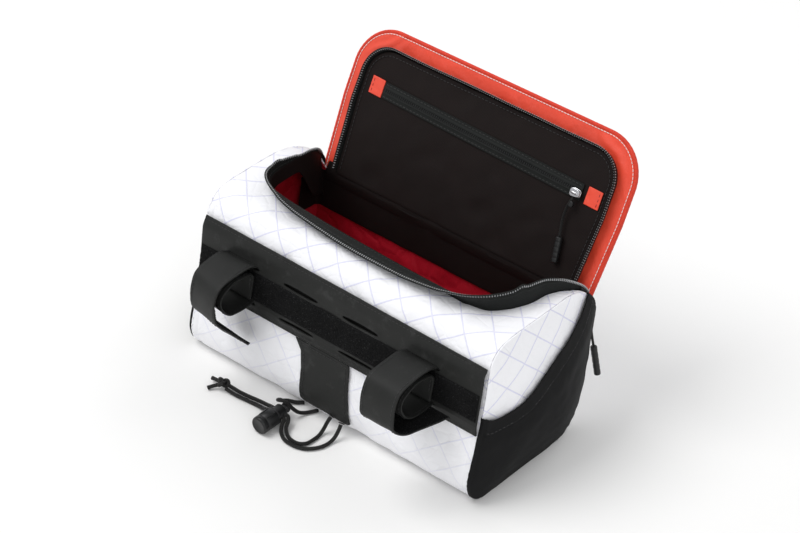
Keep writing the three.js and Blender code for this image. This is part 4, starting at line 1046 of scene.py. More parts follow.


# Each look's maker and a slot name for its pieces, unless they name another; the slot is looked up but not given to
# them
LOOKS = {
    "wrap": (white_cloth("White laminate", (0.0, 0.0)), "white_cloth"),
    # The end panel's copy is brighter, 1 against 0.955: painted light on the shaded end panel.
    "end": (white_cloth("White end laminate", (0.004, 0.006), 1.0), "white_cloth"),
    "lid": (white_cloth("White lid laminate", (0.002, 0.003)), "white_cloth"),
    "lining": (body_lining, "red_lining"),
    "orange": (lid_lining, "orange_lining"),
    "binding": (edge_binding, "orange_lining"),
    "tape": (zip_tape, "black_tape"),
    # The black coil of the opening and lid zips is coloured mid grey: painted highlight, the glints along the teeth.
    "coil": (speckled("Coil with painted glints", (0.33, 0.335, 0.34), 900, 0.75, 0.5, 0.3, 0.15, 0.4), "black_tape"),
    "dark_coil": (speckled("Black coil", (0.02, 0.02, 0.021), 900, 0.7, 0.6, 0.34, 0, 0.4, Specular_IOR_Level=0.25),
                  "black_tape"),
    "coated": (coated_black, "black_panel"),
    "strap": (strap_cloth, "strap"),
    "pile": (hook_pile, "loop_pile"),
    "stretch": (stretch_knit, "stretch_cloth"),
    "mesh": (pocket_mesh, "pocket_mesh"),
    "metal": (bright_metal, "slider_metal"),
    "plastic": (moulded, "black_plastic"),
    "braid": (braid, "cord"),
    "black_thread": (sewing_thread("Black thread", (0.016, 0.016, 0.017)), "strap"),
    "grey_thread": (sewing_thread("Grey thread", (0.012, 0.012, 0.012)), "black_tape"),
    "white_thread": (sewing_thread("White thread", (0.85, 0.82, 0.8)), "orange_lining"),
    "red_thread": (sewing_thread("Red thread", (0.35, 0.02, 0.02)), "orange_lining"),
    "floor": (pale_floor, "floor"),
}


# Pieces


def wrap_rows():
    """Stations from end to end and rows down the rear, under and up the front, and the
    columns round the top: each runs from the rim to the seams, which share their stations."""
    near, leg = 13, 36
    s = runs((-1, RIM_LEFT, near + 1), (RIM_LEFT, RIM_RIGHT, 97), (RIM_RIGHT, 1, near + 1))
    k = even_rows(TOP_SEAM, HINGE, 600, 150)
    legs = np.linspace(HINGE, TURN + TOP_SEAM, leg + 1)
    left, right = RIM_CORNERS
    along = np.interp(s[1:-1], [-1, 1], RIM_CORNERS)
    t = np.concatenate([np.linspace(0, left, leg), along, np.linspace(right, 1, leg)])
    edge, away = rim(t)
    edge = edge + away * RIM_FOLD
    inner_s = np.concatenate([[RIM_LEFT], edge[:, 0] / (HALF - taper(edge[:, 1])), [RIM_RIGHT]])
    inner_k = np.concatenate([[HINGE], row_at(edge[:, 1]), [HINGE]])
    outer_s = np.concatenate([-np.ones(leg + 1), s[1:-1], np.ones(leg + 1)])
    outer_k = np.concatenate([legs, np.full(len(s) - 2, TURN + TOP_SEAM), legs[::-1]])
    w = np.linspace(0, 1, near + 1)
    top_s, top_k = (a[:, None] + (b - a)[:, None] * w for a, b in ((inner_s, outer_s), (inner_k, outer_k)))
    return s, k, legs, top_s, top_k


def profile_way(k):
    """Length round the outline to row k, growing up the rear side and on over the top."""
    fine = np.linspace(-6, TURN, 1600)
    return -np.interp(k, fine, travelled(side_view(fine)))


def wrap_off(s, k):
    """Small waves of the wrap, none of them outwards under the base, the panel or the tongue."""
    high = bpy.context.scene.bag_sizes.wrinkle / MM
    p = body(s, k)
    soft = waves(p, 42, 3, 0.55) + 0.5 * waves(p, 17, 5, 0.3)
    seam = bump_at(np.abs(s), 1, 0.035)
    pucker = seam * np.sin(profile_way(k) * 2 * np.pi / WRAP_PUCKER + 3 * waves(p, 25, 8))
    groove = 0.5 * bump_at(np.abs(s), 0.966, 0.006) * (1 - bump_at(k, 18.5, 2.4))
    off = -0.35 + high * (soft * (1 - seam) + 0.4 * pucker) - groove
    covered = np.any([(k > first) & (k < last) for first, last in COVERED_ROWS], axis=0)
    return np.where(covered, np.minimum(off, 0.0), off)


def wrap_patches(off, inset):
    """The wrap's two patches at a height off(s, k), mapped flat in millimetres."""
    s, k, _, top_s, top_k = wrap_rows()
    return [grid(body(a, b, off(a, b), inset), stacked(a * HALF, profile_way(b - back)), flip=True)
            for a, b, back in ((*mesh_of(s, k), 0), (top_s, top_k, TURN))]


class BAG_OT_body(bpy.types.Operator):
    """White cloth wrapped round the body and its two end panels"""

    bl_idname = "bag.body"
    bl_label = "Body cloth"

    def execute(self, context):
        wrap = make("body_cloth", wrap_patches(wrap_off, 0), "wrap", "body_wrap", solid=1.15, bevel=0.4)
        rho = runs((0, 0.92, 30), (0.92, 1, 10))
        k = even_rows(0, TURN, 1200, 261)
        for side, name in ((-1, "left"), (1, "right")):
            a, b = mesh_of(rho, k)
            p = end_wall(side, a, b, 0, GAP / 2 + CLOTH)
            fade = 1 - smooth(0.86, 0.99, a)
            soft = waves(p, 26, 11 + side, 0.5) + 0.6 * waves(p * (1, 2.2, 0.7), 22, 15)
            pucker = 0.5 + 0.5 * np.sin(profile_way(b) * 2 * np.pi / PUCKER + 3 * waves(p, 21, 17))
            dip = (0.5 + 0.35 * soft) * fade + (1 - fade) * (0.12 + 0.3 * pucker)
            p = end_wall(side, a, b, -0.12, GAP / 2 + CLOTH - 0.1 - dip)
            cloth = make("end_cloth_" + name, grid(p, p[..., 1:], flip=side < 0), "end", "end_" + name, solid=1.25,
                         bevel=0.4)
        return {"FINISHED"}


class BAG_OT_inside(bpy.types.Operator):
    """Red lining, the black bands inside the hinge and the rim, the cloth hinge and the zip's ends"""

    bl_idname = "bag.inside"
    bl_label = "Lining"

    def execute(self, context):
        _, k, legs, _, _ = wrap_rows()
        start = CLOTH + GAP

        def sag(p, fade):
            calm = 1 - smooth(HINGE_Y - 40, HINGE_Y - 28, p[..., 1]) * smooth(HINGE_Z - 44, HINGE_Z - 34, p[..., 2])
            return fade * calm * (0.75 + 0.5 * waves(p, 34, 21, 0.5) + 0.3 * waves(p, 15, 22, 0.4))

        def off(a, b):
            return -start - 0.25 - sag(body(a, b), 1 - smooth(0.9, 1, np.abs(a)))

        shapes = wrap_patches(off, 1.0)
        rho, around = mesh_of((0, 1, 34), np.concatenate([k[:-1], legs]))
        for side in (-1, 1):
            p = end_wall(side, rho, around, -start, -GAP)
            deep = -1.0 - sag(p, 1 - smooth(0.8, 1, rho))
            p = end_wall(side, rho, around, -start - 0.25, deep)
            shapes.append(grid(p, p[..., 1:], flip=side < 0))
        lining = make("body_lining", shapes, "lining", "lining", solid=0.6, bevel=0.2)
        self.bands()
        self.zip_ends()
        return {"FINISHED"}

    def bands(self):
        """The band inside the hinge with its wings on the ends, the two faces of the cloth
        hinge, and the facing below the rim."""
        depth = CLOTH + GAP + LINING + GAP
        drop = BAND_HEIGHT / (outline(HINGE)[1] - outline(HINGE - 1)[1])
        rows = np.linspace(HINGE - 0.05, HINGE - 0.05 - drop, 14)
        place, b = mesh_of((-0.965, 0.965, 90), rows)
        walls = [body(place, b, -depth - 0.7 + 0.35 * waves(body(place, b), 24, 31, 0.3))]
        share = np.linspace(1, 0.12, 12)
        for side in (-1, 1):  # the wings, each in the order in which the band runs on
            a, b = mesh_of(share if side < 0 else share[::-1], rows)
            p = body(side, b, -depth - 0.7)
            y = p[..., 1] - a * 20
            wall = stacked(side * (HALF - taper(y) - 2 * GAP - LINING - 0.7), y, p[..., 2])
            walls.insert(0 if side < 0 else 2, wall)
        make("hinge_inner_band", grid(np.concatenate(walls), flip=True), "mesh", "hinge_band", solid=0.7, bevel=0.2,
             slot="black_tape")

        a, w = mesh_of((-0.935, 0.935, 90), (0, 1, 13))
        x = a * (HALF - END_TAPER)
        fold = bent(w, body(a, HINGE - 0.16, 0.45), body(a, HINGE - 0.02, 1.0), lid(x, 1.0, -2.5), lid(x, 4.5, -2.15))
        make("cloth_hinge", grid(fold, flip=True), "wrap", solid=0.5, bevel=0.2)

        a, w = mesh_of((-0.945, 0.945, 110), (0, 1, 17))
        x = a * (HALF - END_TAPER)
        fold = bent(w, body(a, HINGE - 0.4, -depth - 0.9), body(a, HINGE + 0.08, -depth - 1.1),
                    lid(x, -1.0, LID_INNER + 2.4), lid(x, 7.5, LID_INNER + 1.4))
        make("hinge_tape", grid(fold, stacked(x, w * 14)), "mesh", solid=0.6, bevel=0.2, slot="black_tape")

        t, w = mesh_of((0.012, 0.988, 300), (0, 1, 10))
        place, away = rim(t)
        wavy = 0.35 * waves(place, 26, 33)
        drop = -1.7 + (12 + BAND_HEIGHT * (1 - smooth(0.05, 0.11, np.minimum(t, 1 - t)))) * w
        p = place - away * (0.75 + 1.2 * w + wavy * w)[..., None] - drop[..., None] * UP
        make("rim_facing", grid(p, stacked(t * 560, drop)), "mesh", solid=0.7, towards=0.0, bevel=0.2,
             slot="black_tape")

    def zip_ends(self):
        """The zip's two ends, from the rim's corners over the hinge into the lid's corners."""
        for end, name in ((0.0, "left"), (1.0, "right")):
            first, second = rim(np.array([abs(end - 0.035), end]))[0]
            corner = lid(second[0] * 1.004, 1.5, 2.0)
            middle = (second + corner) / 2 + (0, 0.8, 1.5)
            path = route([first + UP * 2.0, second + UP * 1.6, middle, corner], 40)
            make("zip_end_" + name, carried(path, ring_of(2.1, 14, 0.5)), "tape")
class BAG_OT_opening(bpy.types.Operator):
    """Zip tape that stands round the opening, its teeth and stitching"""

    bl_idname = "bag.opening"
    bl_label = "Opening zip"

    def execute(self, context):
        def lip(t, h, out=0.0):
            flutter = 0.35 * waves(collar(t, h, out), 30, 41) * smooth(0.1, 1, h)
            fold = 0.5 * bump_at(h, 0.8, 0.05) - 0.3 * bump_at(h, 0.68, 0.03)
            return collar(t, h, out + flutter - fold)

        t, h = mesh_of((0, 1, 300), runs((-1, 0, 5), (0, 0.55, 8), (0.55, 1, 17)))
        points = lip(t, h, -0.4)
        make("opening_tape", grid(points, along_map(points, 10, h * COLLAR_HEIGHT), flip=True), "tape",
             "opening_zip_tape", solid=0.8, bevel=0.2)
        make("opening_teeth", teeth(lambda t, out: lip(t, 0.9, out), TOOTH, 0.0, -1.0), "coil")
        rows = [stitches(lambda t, out, h=h: lip(t, h, out), -0.45, -1.0, 0.02, 0.98) for h in (0.66, 0.24)]
        make("opening_stitches", rows, "grey_thread")
        return {"FINISHED"}


class BAG_OT_rear(bpy.types.Operator):
    """Slotted rear panel, its loop strip and stitching, and the tongue with its stitching"""

    bl_idname = "bag.rear"
    bl_label = "Rear panel and tongue"

    def execute(self, context):
        self.face()
        self.loop_strip()
        self.tongue()
        return {"FINISHED"}

    def face(self):
        """The panel in three bands, whose edges part at the slots, and what lies behind it."""
        half_slot = SLOT_LENGTH / 2
        turn = np.sin(np.linspace(-np.pi / 2, np.pi / 2, 21))
        middles = np.array(SLOT_COLUMNS) * SLOT_PITCH
        stations = [np.linspace(-1, 1, 111) * HALF] + [m + half_slot * turn for m in middles]
        x = np.unique(np.round(np.concatenate(stations), 4))
        near = np.abs(x[:, None] - middles).min(1) / half_slot
        gape = 0.33 * SLOT_HEIGHT * np.maximum(0, 1 - near**2) ** 0.35 / PANEL_HEIGHT
        lines = [np.zeros(len(x))]
        for row in SLOT_ROWS:
            lines += [row - gape, row + gape]
        lines.append(np.ones(len(x)))
        bands = []
        for upper, lower, count in zip(lines[::2], lines[1::2], (18, 22, 10)):
            down = upper[:, None] + (lower - upper)[:, None] * smooth(0, 1, np.linspace(0, 1, count))
            s = x[:, None] / HALF
            reach = np.stack([np.abs(down - row) * PANEL_HEIGHT for row in SLOT_ROWS]).min(0)
            lip = 0.75 * bump_at(reach, 1.4, 2.2) * (1 - smooth(0.98, 1.15, near))[:, None]
            sewn = -0.28 * (bump_at(down, SEAM_ROWS[0], 0.014) + bump_at(down, SEAM_ROWS[1], 0.014))
            puff = 0.3 * waves(panel(s, down), 34, 51) * inside(down, 8)
            bands.append(grid(panel(s, down, PANEL_THICK - 0.1 + lip + sewn + puff), panel_map(s, down), flip=True))
        make("panel_face", bands, "coated", "handlebar_panel", solid=1.2, bevel=0.35)
        rows = [stitches(lambda t, out, d=d: panel(2 * t - 1, d + 0 * t, out), 1.05, start=0.01, stop=0.99)
                for d in SEAM_ROWS]
        make("panel_stitches", rows, "grey_thread", slot="black_panel")
        s, k = mesh_of((-0.985, 0.985, 60), (2.08, 3.92, 24))
        back = body(s, k, 0.4 + 0.08 * waves(body(s, k), 30, 53))
        make("panel_backing", grid(back, stacked(s * HALF, profile_way(k)), flip=True), "coated", solid=0.25)

    def loop_strip(self):
        """The strip's rough pile and the fibres that stand out of it."""
        high = LOOP_STRIP / PANEL_HEIGHT
        top = sum(SLOT_ROWS) / 2 - high / 2
        s, down = mesh_of((-0.993, 0.993, 300), (top, top + high, 26))
        rough = np.random.RandomState(7).uniform(-0.28, 0.28, s.shape)
        edge = 1 - smooth(0.44, 0.5, np.abs((down - top) / high - 0.5))
        p = panel(s, down, PANEL_THICK + 0.35 + (0.75 + 0.3 * waves(panel(s, down), 30, 51) + rough) * edge)
        make("loop_strip_pile", grid(p, panel_map(s, down), flip=True), "pile", "loop_strip", solid=0.5)
        rng, count = np.random.RandomState(8), 2600
        s, down = rng.uniform(-0.99, 0.99, count), rng.uniform(top + 0.02, top + high - 0.02, count)
        p, up = panel(s, down, PANEL_THICK + 1.0), panel(s, down, PANEL_THICK + 2.0)
        go = unit(rng.normal(size=(count, 3)))
        out = unit(up - p)
        go = unit(go - out * (go * out).sum(-1, keepdims=True) + 0.35 * out)
        out = unit(out - go * (go * out).sum(-1, keepdims=True))
        make("loop_strip_fuzz", repeated(capsule(1.9, 0.13, 0.13, 3), p + out * 0.25, go, out), "pile")

    def tongue(self):
        """The tongue and a row of stitches inside each of its edges."""
        down, across = mesh_of((0, 1, 70), (0, 1, 36))
        swell = 0.25 * waves(tongue(down, across), 26, 61) * inside(across, 6)
        make("tongue_flap", grid(tongue(down, across, PANEL_THICK - 0.15 + swell)), "coated", "tongue", solid=1.1,
             bevel=0.4)

        def side_line(edge, sign):
            def place(t, out):
                down = 0.03 + 0.93 * t
                wide = np.interp(down, TONGUE[:, 0], TONGUE[:, 2] - TONGUE[:, 1])
                return tongue(down, edge + sign * TONGUE_SEAM / TONGUE_WIDTH / wide, out)
            return place

        def level_line(down, first):
            return lambda t, out: tongue(down + 0 * t, first + (1 - 2 * first) * t, out)

        lines = side_line(0, 1), side_line(1, -1), level_line(0.94, 0.06), level_line(0.035, 0.03)
        make("tongue_stitches", [stitches(line, 1.3) for line in lines], "grey_thread", slot="black_panel")


class BAG_OT_straps(bpy.types.Operator):
    """Two looped handlebar straps with their tails, pile faces and seams"""

    bl_idname = "bag.straps"
    bl_label = "Straps"

    def execute(self, context):
        for side in ("left", "right"):
            t, across = mesh_of((0, 1, 190), runs((-0.5, 0.5, 19), [-0.488, -0.47, 0.47, 0.488]))
            worn = smooth(0.93, 1, t) if side == "left" else smooth(0.97, 1, t) * 0.3
            ragged = 0.02 * np.sin(t * 900) * smooth(0.8, 0.9, t) if side == "left" else 0
            wide = across * (1 - 0.16 * worn + ragged)
            p = strap(side, t, wide)
            edge = np.abs(across) * 2
            crown = 0.25 * waves(p, 22, 71) - 0.14 * bump_at(edge, 0.86, 0.05)
            flat = along_map(p, 10, across * STRAP_WIDTH)
            make("strap_cloth_" + side, grid(strap(side, t, wide, crown), flat, flip=True), "strap", "strap_" + side,
                 solid=1.4, towards=0.0, bevel=0.45)
            t, across = mesh_of((PILE_START[side], 0.997, 240), (-0.47, 0.47, 15))
            saw = 1 + 0.06 * np.sign(np.sin(t * 900)) * smooth(0.7, 0.8, np.abs(across) * 2)
            rough = np.random.RandomState(9).uniform(-0.15, 0.15, t.shape)
            pile = strap(side, t, across * saw, 1.3 + rough)
            make("strap_pile_" + side, grid(pile, along_map(pile, 7, across * STRAP_WIDTH)), "pile", solid=0.9,
                 towards=0.0)
            rows = [stitches(lambda t, out, a=a: strap(side, t, a, out), o, o, 0.02, 0.98)
                    for a in (-STRAP_SEAM, STRAP_SEAM) for o in (STRAP_SEAM_OUT, -STRAP_SEAM_OUT)]
            make("strap_stitches_" + side, rows, "black_thread")
        return {"FINISHED"}


class BAG_OT_ends(bpy.types.Operator):
    """Stretch side pockets with their folded hems"""

    bl_idname = "bag.ends"
    bl_label = "Side pockets"

    def execute(self, context):
        for side, name in ((-1, "left"), (1, "right")):
            u, v = mesh_of(runs((0, 1, 100), [0.004, 0.012, 0.988, 0.996]), runs((0, 0.3, 26), (0.3, 1, 30)))
            p = side_pocket(side, u, v)
            long = np.linalg.norm(p[:, -1] - p[:, 0], axis=-1)[:, None]
            deep = v * long
            fold = np.minimum(1, long / HEM_FULL)
            hem = 1 - smooth(HEM_DEEP - 0.8, HEM_DEEP + 0.5, deep)
            seam = bump_at(deep, HEM_DEEP, 0.9)
            slack = 0.55 * bump_at(deep, 24, 6) * np.sin(np.pi * u) ** 0.5
            zig = 0.25 * np.sin(u * 420) * smooth(0.86, 1, u)
            soft = 0.35 * waves(p, 28, 81 + side, 0.2) * np.sin(np.pi * v) + 0.12 * waves(p, 7, 85)
            out = 1.2 + (0.75 * hem - 0.35 * seam) * fold + slack + soft + zig
            flat = along_map(p, 20, -deep)
            face = side_pocket(side, u, v, out)
            w = np.linspace(0, 1, 6)[1:]
            low = 0.15 if side > 0 else -0.9
            y, z = outline(HEM_REAR + (HEM_FRONT - HEM_REAR) * u[:, :1], low + 0.25 * w)
            edge = HALF - taper(y) + GAP + (CLOTH + POCKET_EASE + 1.0) * np.sqrt(1 - w**2)
            edge = edge + 0.25 * np.sin(travelled(p[:, -1])[:, None] * 2 * np.pi / PUCKER)
            face = np.concatenate([face, stacked(side * edge, y, lifted(np.maximum(z, 0.1), side))], 1)
            flat = np.concatenate([flat, flat[:, -1:] - stacked(0 * edge, 5 * w)], 1)
            pocket = make("pocket_cloth_" + name, grid(face, flat, flip=side > 0), "stretch", "side_pocket_" + name,
                          solid=1.1, bevel=0.45)

            def row(t, out):
                long = np.linalg.norm(side_pocket(side, t, 0 * t + 1) - side_pocket(side, t, 0 * t), axis=-1)
                return side_pocket(side, t, (HEM_DEEP - 1.6) / np.maximum(HEM_FULL, long), out)

            make("pocket_stitches_" + name, [stitches(row, 1.75, start=0.05, stop=0.96)], "black_thread",
                 slot="stretch_cloth")
        return {"FINISHED"}


class BAG_OT_lid(bpy.types.Operator):
    """Lid: white outside, orange inside, bound edge and zip tape with teeth"""

    bl_idname = "bag.lid"
    bl_label = "Lid"

    def execute(self, context):
        across, up, share = lid_grid(0.6, LID_CORNER - 0.6, GAP, 44, 24, 111)
        p = lid(across, up)
        fade = 1 - smooth(0.9, 1, share)
        outer = -GAP / 2 - CLOTH + 0.15 + 0.5 * fade * (0.5 + 0.5 * waves(p, 36, 91, 0.4))
        flat = stacked(across, up)
        shell = make("lid_cloth", grid(lid(across, up, outer), flat), "lid", "lid_shell", solid=0.9, bevel=0.3)
        corner = smooth(70, 137, np.abs(across)) * smooth(60, 124, up)
        crease = np.sin((np.abs(across) * 0.7 + up * 0.72) * 2 * np.pi / 11 + 3 * waves(p, 30, 94))
        inner = LID_INNER - 0.1 + 0.32 * fade * waves(p, 24, 93, 0.5) + 0.8 * corner * crease * fade
        cloth = make("lid_inner_cloth", grid(lid(across, up, inner), flat, flip=True), "orange", "lid_lining",
                     solid=0.7, bevel=0.2)

        t = np.linspace(0, 1, 340)[:, None]
        a, u, ox, ou = lid_edge(t, 0, LID_CORNER, 1.0)
        side, high = BINDING.T
        ring = lid(a + ox * side, u + ou * side, high + 0.12 * np.sin(t * 700))
        caps = ring[[0, -1]].mean(1, keepdims=True) + 0 * ring[[0, -1]]
        make("lid_binding", grid(np.concatenate([caps[:1], ring, caps[1:]]), wrap=True), "binding")

        def topstitch(t, out):
            a, u, _, _ = lid_edge(t, 2.6, LID_CORNER - 2.6, 2.0)
            return lid(a, u, out)

        make("lid_topstitch", [stitches(topstitch, LID_INNER + 0.3, gap=1.1)], "white_thread")

        def tape(t, h, out=0.0):
            a, u, ox, ou = lid_edge(t, LID_INSET + LID_TAPE_FLARE, LID_TAPE_CORNER - LID_TAPE_FLARE, 4.0)
            flutter = 0.3 * waves(lid(a, u), 32, 96) * h
            shift = LID_TAPE_FLARE * h + out * 0.96 + flutter
            return lid(a + ox * shift, u + ou * shift, LID_INNER + GAP + LID_TAPE_HEIGHT * h - 0.28 * out)

        t, h = mesh_of((0, 1, 320), (0, 1, 12))
        points = tape(t, h, 0.4)
        make("lid_tape", grid(points, along_map(points, 5, h * LID_TAPE_HEIGHT), flip=True), "tape", "lid_zip_tape",
             solid=0.8, bevel=0.2)
        make("lid_teeth", teeth(lambda t, out: tape(t, 0.82, out), TOOTH, 0.0, -1.0), "coil")
        rows = [stitches(lambda t, out: tape(t, 0.55, out), o, o, 0.02, 0.98) for o in (0.45, -0.45)]
        make("lid_tape_stitches", rows, "grey_thread")
        return {"FINISHED"}


TAB = 13
ZIP_END = lid_half(ZIP_LEFT) - POCKET_INSET - 9 - TAB


def strip(x, y, out):
    """A place on the pocket's zip: across the lid and up from the zip's middle line."""
    return on_pocket(x, zip_middle(x) + y, out)


def strip_line(y):
    """A line along the zip at y from its middle."""
    return lambda t, out: strip((2 * t - 1) * (ZIP_END - 1), y + 0 * t, out)


class BAG_OT_lid_pocket(bpy.types.Operator):
    """Mesh pocket in the lid with its zip and orange tabs"""

    bl_idname = "bag.lid_pocket"
    bl_label = "Lid pocket"

    def execute(self, context):
        across, up, share = lid_grid(POCKET_INSET, POCKET_CORNER, 1.5, 40, 20, 101)
        p = lid(across, up)
        soft = 0.7 * waves(p, 33, 101, 0.35) + 0.3 * waves(p * (2.4, 1, 1), 26, 102)
        calm = 1 - 0.85 * bump_at(up, zip_middle(across), 12)
        face = on_pocket(across, up, -0.25 + 0.55 * soft * (1 - smooth(0.93, 1, share)) * calm)
        pocket = make("lid_pocket_mesh", grid(face, stacked(across, up), flip=True), "mesh", "lid_pocket", solid=0.7,
                      bevel=0.25)

        t, w = mesh_of((0, 1, 300), (0, 1, 7))
        rings = [lid_edge(t[:, :1], POCKET_INSET + i, POCKET_CORNER - i, 1.5) for i in (-1.3, 0.7)]
        a, u = (low + (high - low) * w for low, high in zip(rings[0][:2], rings[1][:2]))
        rise = LID_INNER + 0.35 + (POCKET_BASE + POCKET_CLEAR - 0.55 - LID_INNER) * smooth(0, 1, w)
        make("lid_pocket_gusset", grid(lid(a, u, rise), stacked(t * 500, w * 5)), "mesh", solid=0.5, towards=0.0,
             bevel=0.15)

        def round_it(t, out):
            a, u, _, _ = lid_edge(t, POCKET_INSET + 3, POCKET_CORNER - 3, 5)
            return on_pocket(a, u, out)

        make("lid_pocket_stitches", [stitches(round_it, 0.2)], "black_thread", slot="pocket_mesh")

        x, y = mesh_of((-ZIP_END, ZIP_END, 120), (-ZIP_WIDTH / 2, ZIP_WIDTH / 2, 27))
        seams = bump_at(np.abs(y), ZIP_SEAM, 0.4)
        lift = 0.95 + 0.4 * bump_at(np.abs(y), 1.9, 0.8) - 0.3 * bump_at(y, 0, 0.5) - 0.15 * seams
        tape = strip(x, y, lift + 0.1 * waves(strip(x, y, 0), 20, 105))
        make("pocket_zip_tape", grid(tape, stacked(x, y)), "tape", "pocket_zip", solid=0.8, bevel=0.25)
        make("pocket_zip_coil", teeth(strip_line(0), (2.6, 0.85, 0.9), 1.15, 1.0), "dark_coil")
        make("pocket_zip_stitches", [stitches(strip_line(y), 0.95) for y in (-ZIP_SEAM, ZIP_SEAM)], "grey_thread")

        for side, name in ((-1, "left"), (1, "right")):
            far = ZIP_END + GAP + TAB if side < 0 else lid_half(ZIP_RIGHT) - POCKET_INSET - 4.5
            near = far - TAB
            x, y = mesh_of(side * np.linspace(near, far, 26), (-7, 7, 25))
            lift = 1.15 + 0.12 * waves(strip(x, y, 0), 9, 111 + side, 0.3) + 0.3 * bump_at(np.abs(x), near + 0.5, 1.2)
            make("tab_cloth_" + name, grid(strip(x, y, lift), stacked(x, y), flip=side < 0), "orange", "tab_" + name,
                 solid=0.9, bevel=0.4)

            def line(t, out):
                return strip(side * (far - 2.2) + 0 * t, -6 + 12 * t, out)

            make("tab_stitches_" + name, [stitches(line, 1.15)], "red_thread")
        return {"FINISHED"}


def route(points, count=90):
    """Even places on the curve through a cord's points."""
    fine = spline(points, np.linspace(0, len(points) - 1, 900))
    far = travelled(fine)
    at = np.linspace(0, far[-1], count)
    return stacked(*(np.interp(at, far, fine[:, i]) for i in range(3)))


def cord_piece(name, solid_name, with_pieces=(), **facts):
    """A round cord along its route: a circle carried along it."""
    path = route(LACES[solid_name])
    cord = make(name, carried(path, ring_of(CORD / 2, 14)), "braid", solid_name)
    if with_pieces:
        facts["with_pieces"] = with_pieces
    float(travelled(path)[-1]) * MM


def ridged(radius, length, ridges, depth):
    """Profile of a grip: rounded ends and rings pressed into its middle."""
    h = np.linspace(0, length, 90)
    end = np.minimum(h, length - h)
    r = radius * np.sqrt(1 - np.clip(1 - end / 0.9, 0, 1) ** 2 * 0.55)
    inside = smooth(1.4, 2.2, end)
    r = r - depth * inside * (0.5 + 0.5 * np.cos(2 * np.pi * ridges * h / length)) ** 3
    return np.concatenate([[(0, 0)], stacked(r, h), [(0, length)]])


def pebble(place, along, across, out, size, low=0.0, power=0.6, pinch=0.0):
    """A rounded plate: a superellipse outline drawn in towards its top and bottom faces,
    narrowed towards one end by pinch."""
    r = np.array([0, 0.5, 0.86, 0.96, 1, 1, 0.96, 0.86, 0.5, 0])
    h = np.array([0, 0, 0, 0.06, 0.3, 0.7, 0.94, 1, 1, 1.0])
    w = circle(36)
    c, s = (np.sign(f) * np.abs(f) ** power for f in (np.cos(w), np.sin(w)))
    x = r[:, None] * c * size[0] / 2
    y = r[:, None] * s * size[1] / 2 * (1 - pinch * c)
    z = low + h[:, None] * size[2] + 0 * x
    points = np.asarray(place) + x[..., None] * along + y[..., None] * across + z[..., None] * out
    return grid(points, wrap=True, flip=float(np.dot(np.cross(along, across), out)) > 0)


def slider_shapes(place, along, across, out):
    """Zip slider: two plates, the wedge between them and the bridge that holds the pull."""
    plates = [
        pebble(place, along, across, out, (8.8, 6.6, 0.9), 0, 0.55, 0.1),
        pebble(place, along, across, out, (8.6, 6.2, 1.0), 2.1, 0.55, 0.14),
        pebble(place + along * 2.6, along, across, out, (2.6, 1.8, 1.4), 0.8, 0.8),
    ]
    t = np.linspace(0, np.pi, 24)[:, None]
    bridge = place + along * (-np.cos(t) * 2.9) + out * (2.7 + 1.25 * np.sin(t) ** 0.7)
    rows = carried(bridge, ring_of(0.62, 10, 1.7), ups=np.repeat(across[None], 24, 0))
    return plates + [rows]


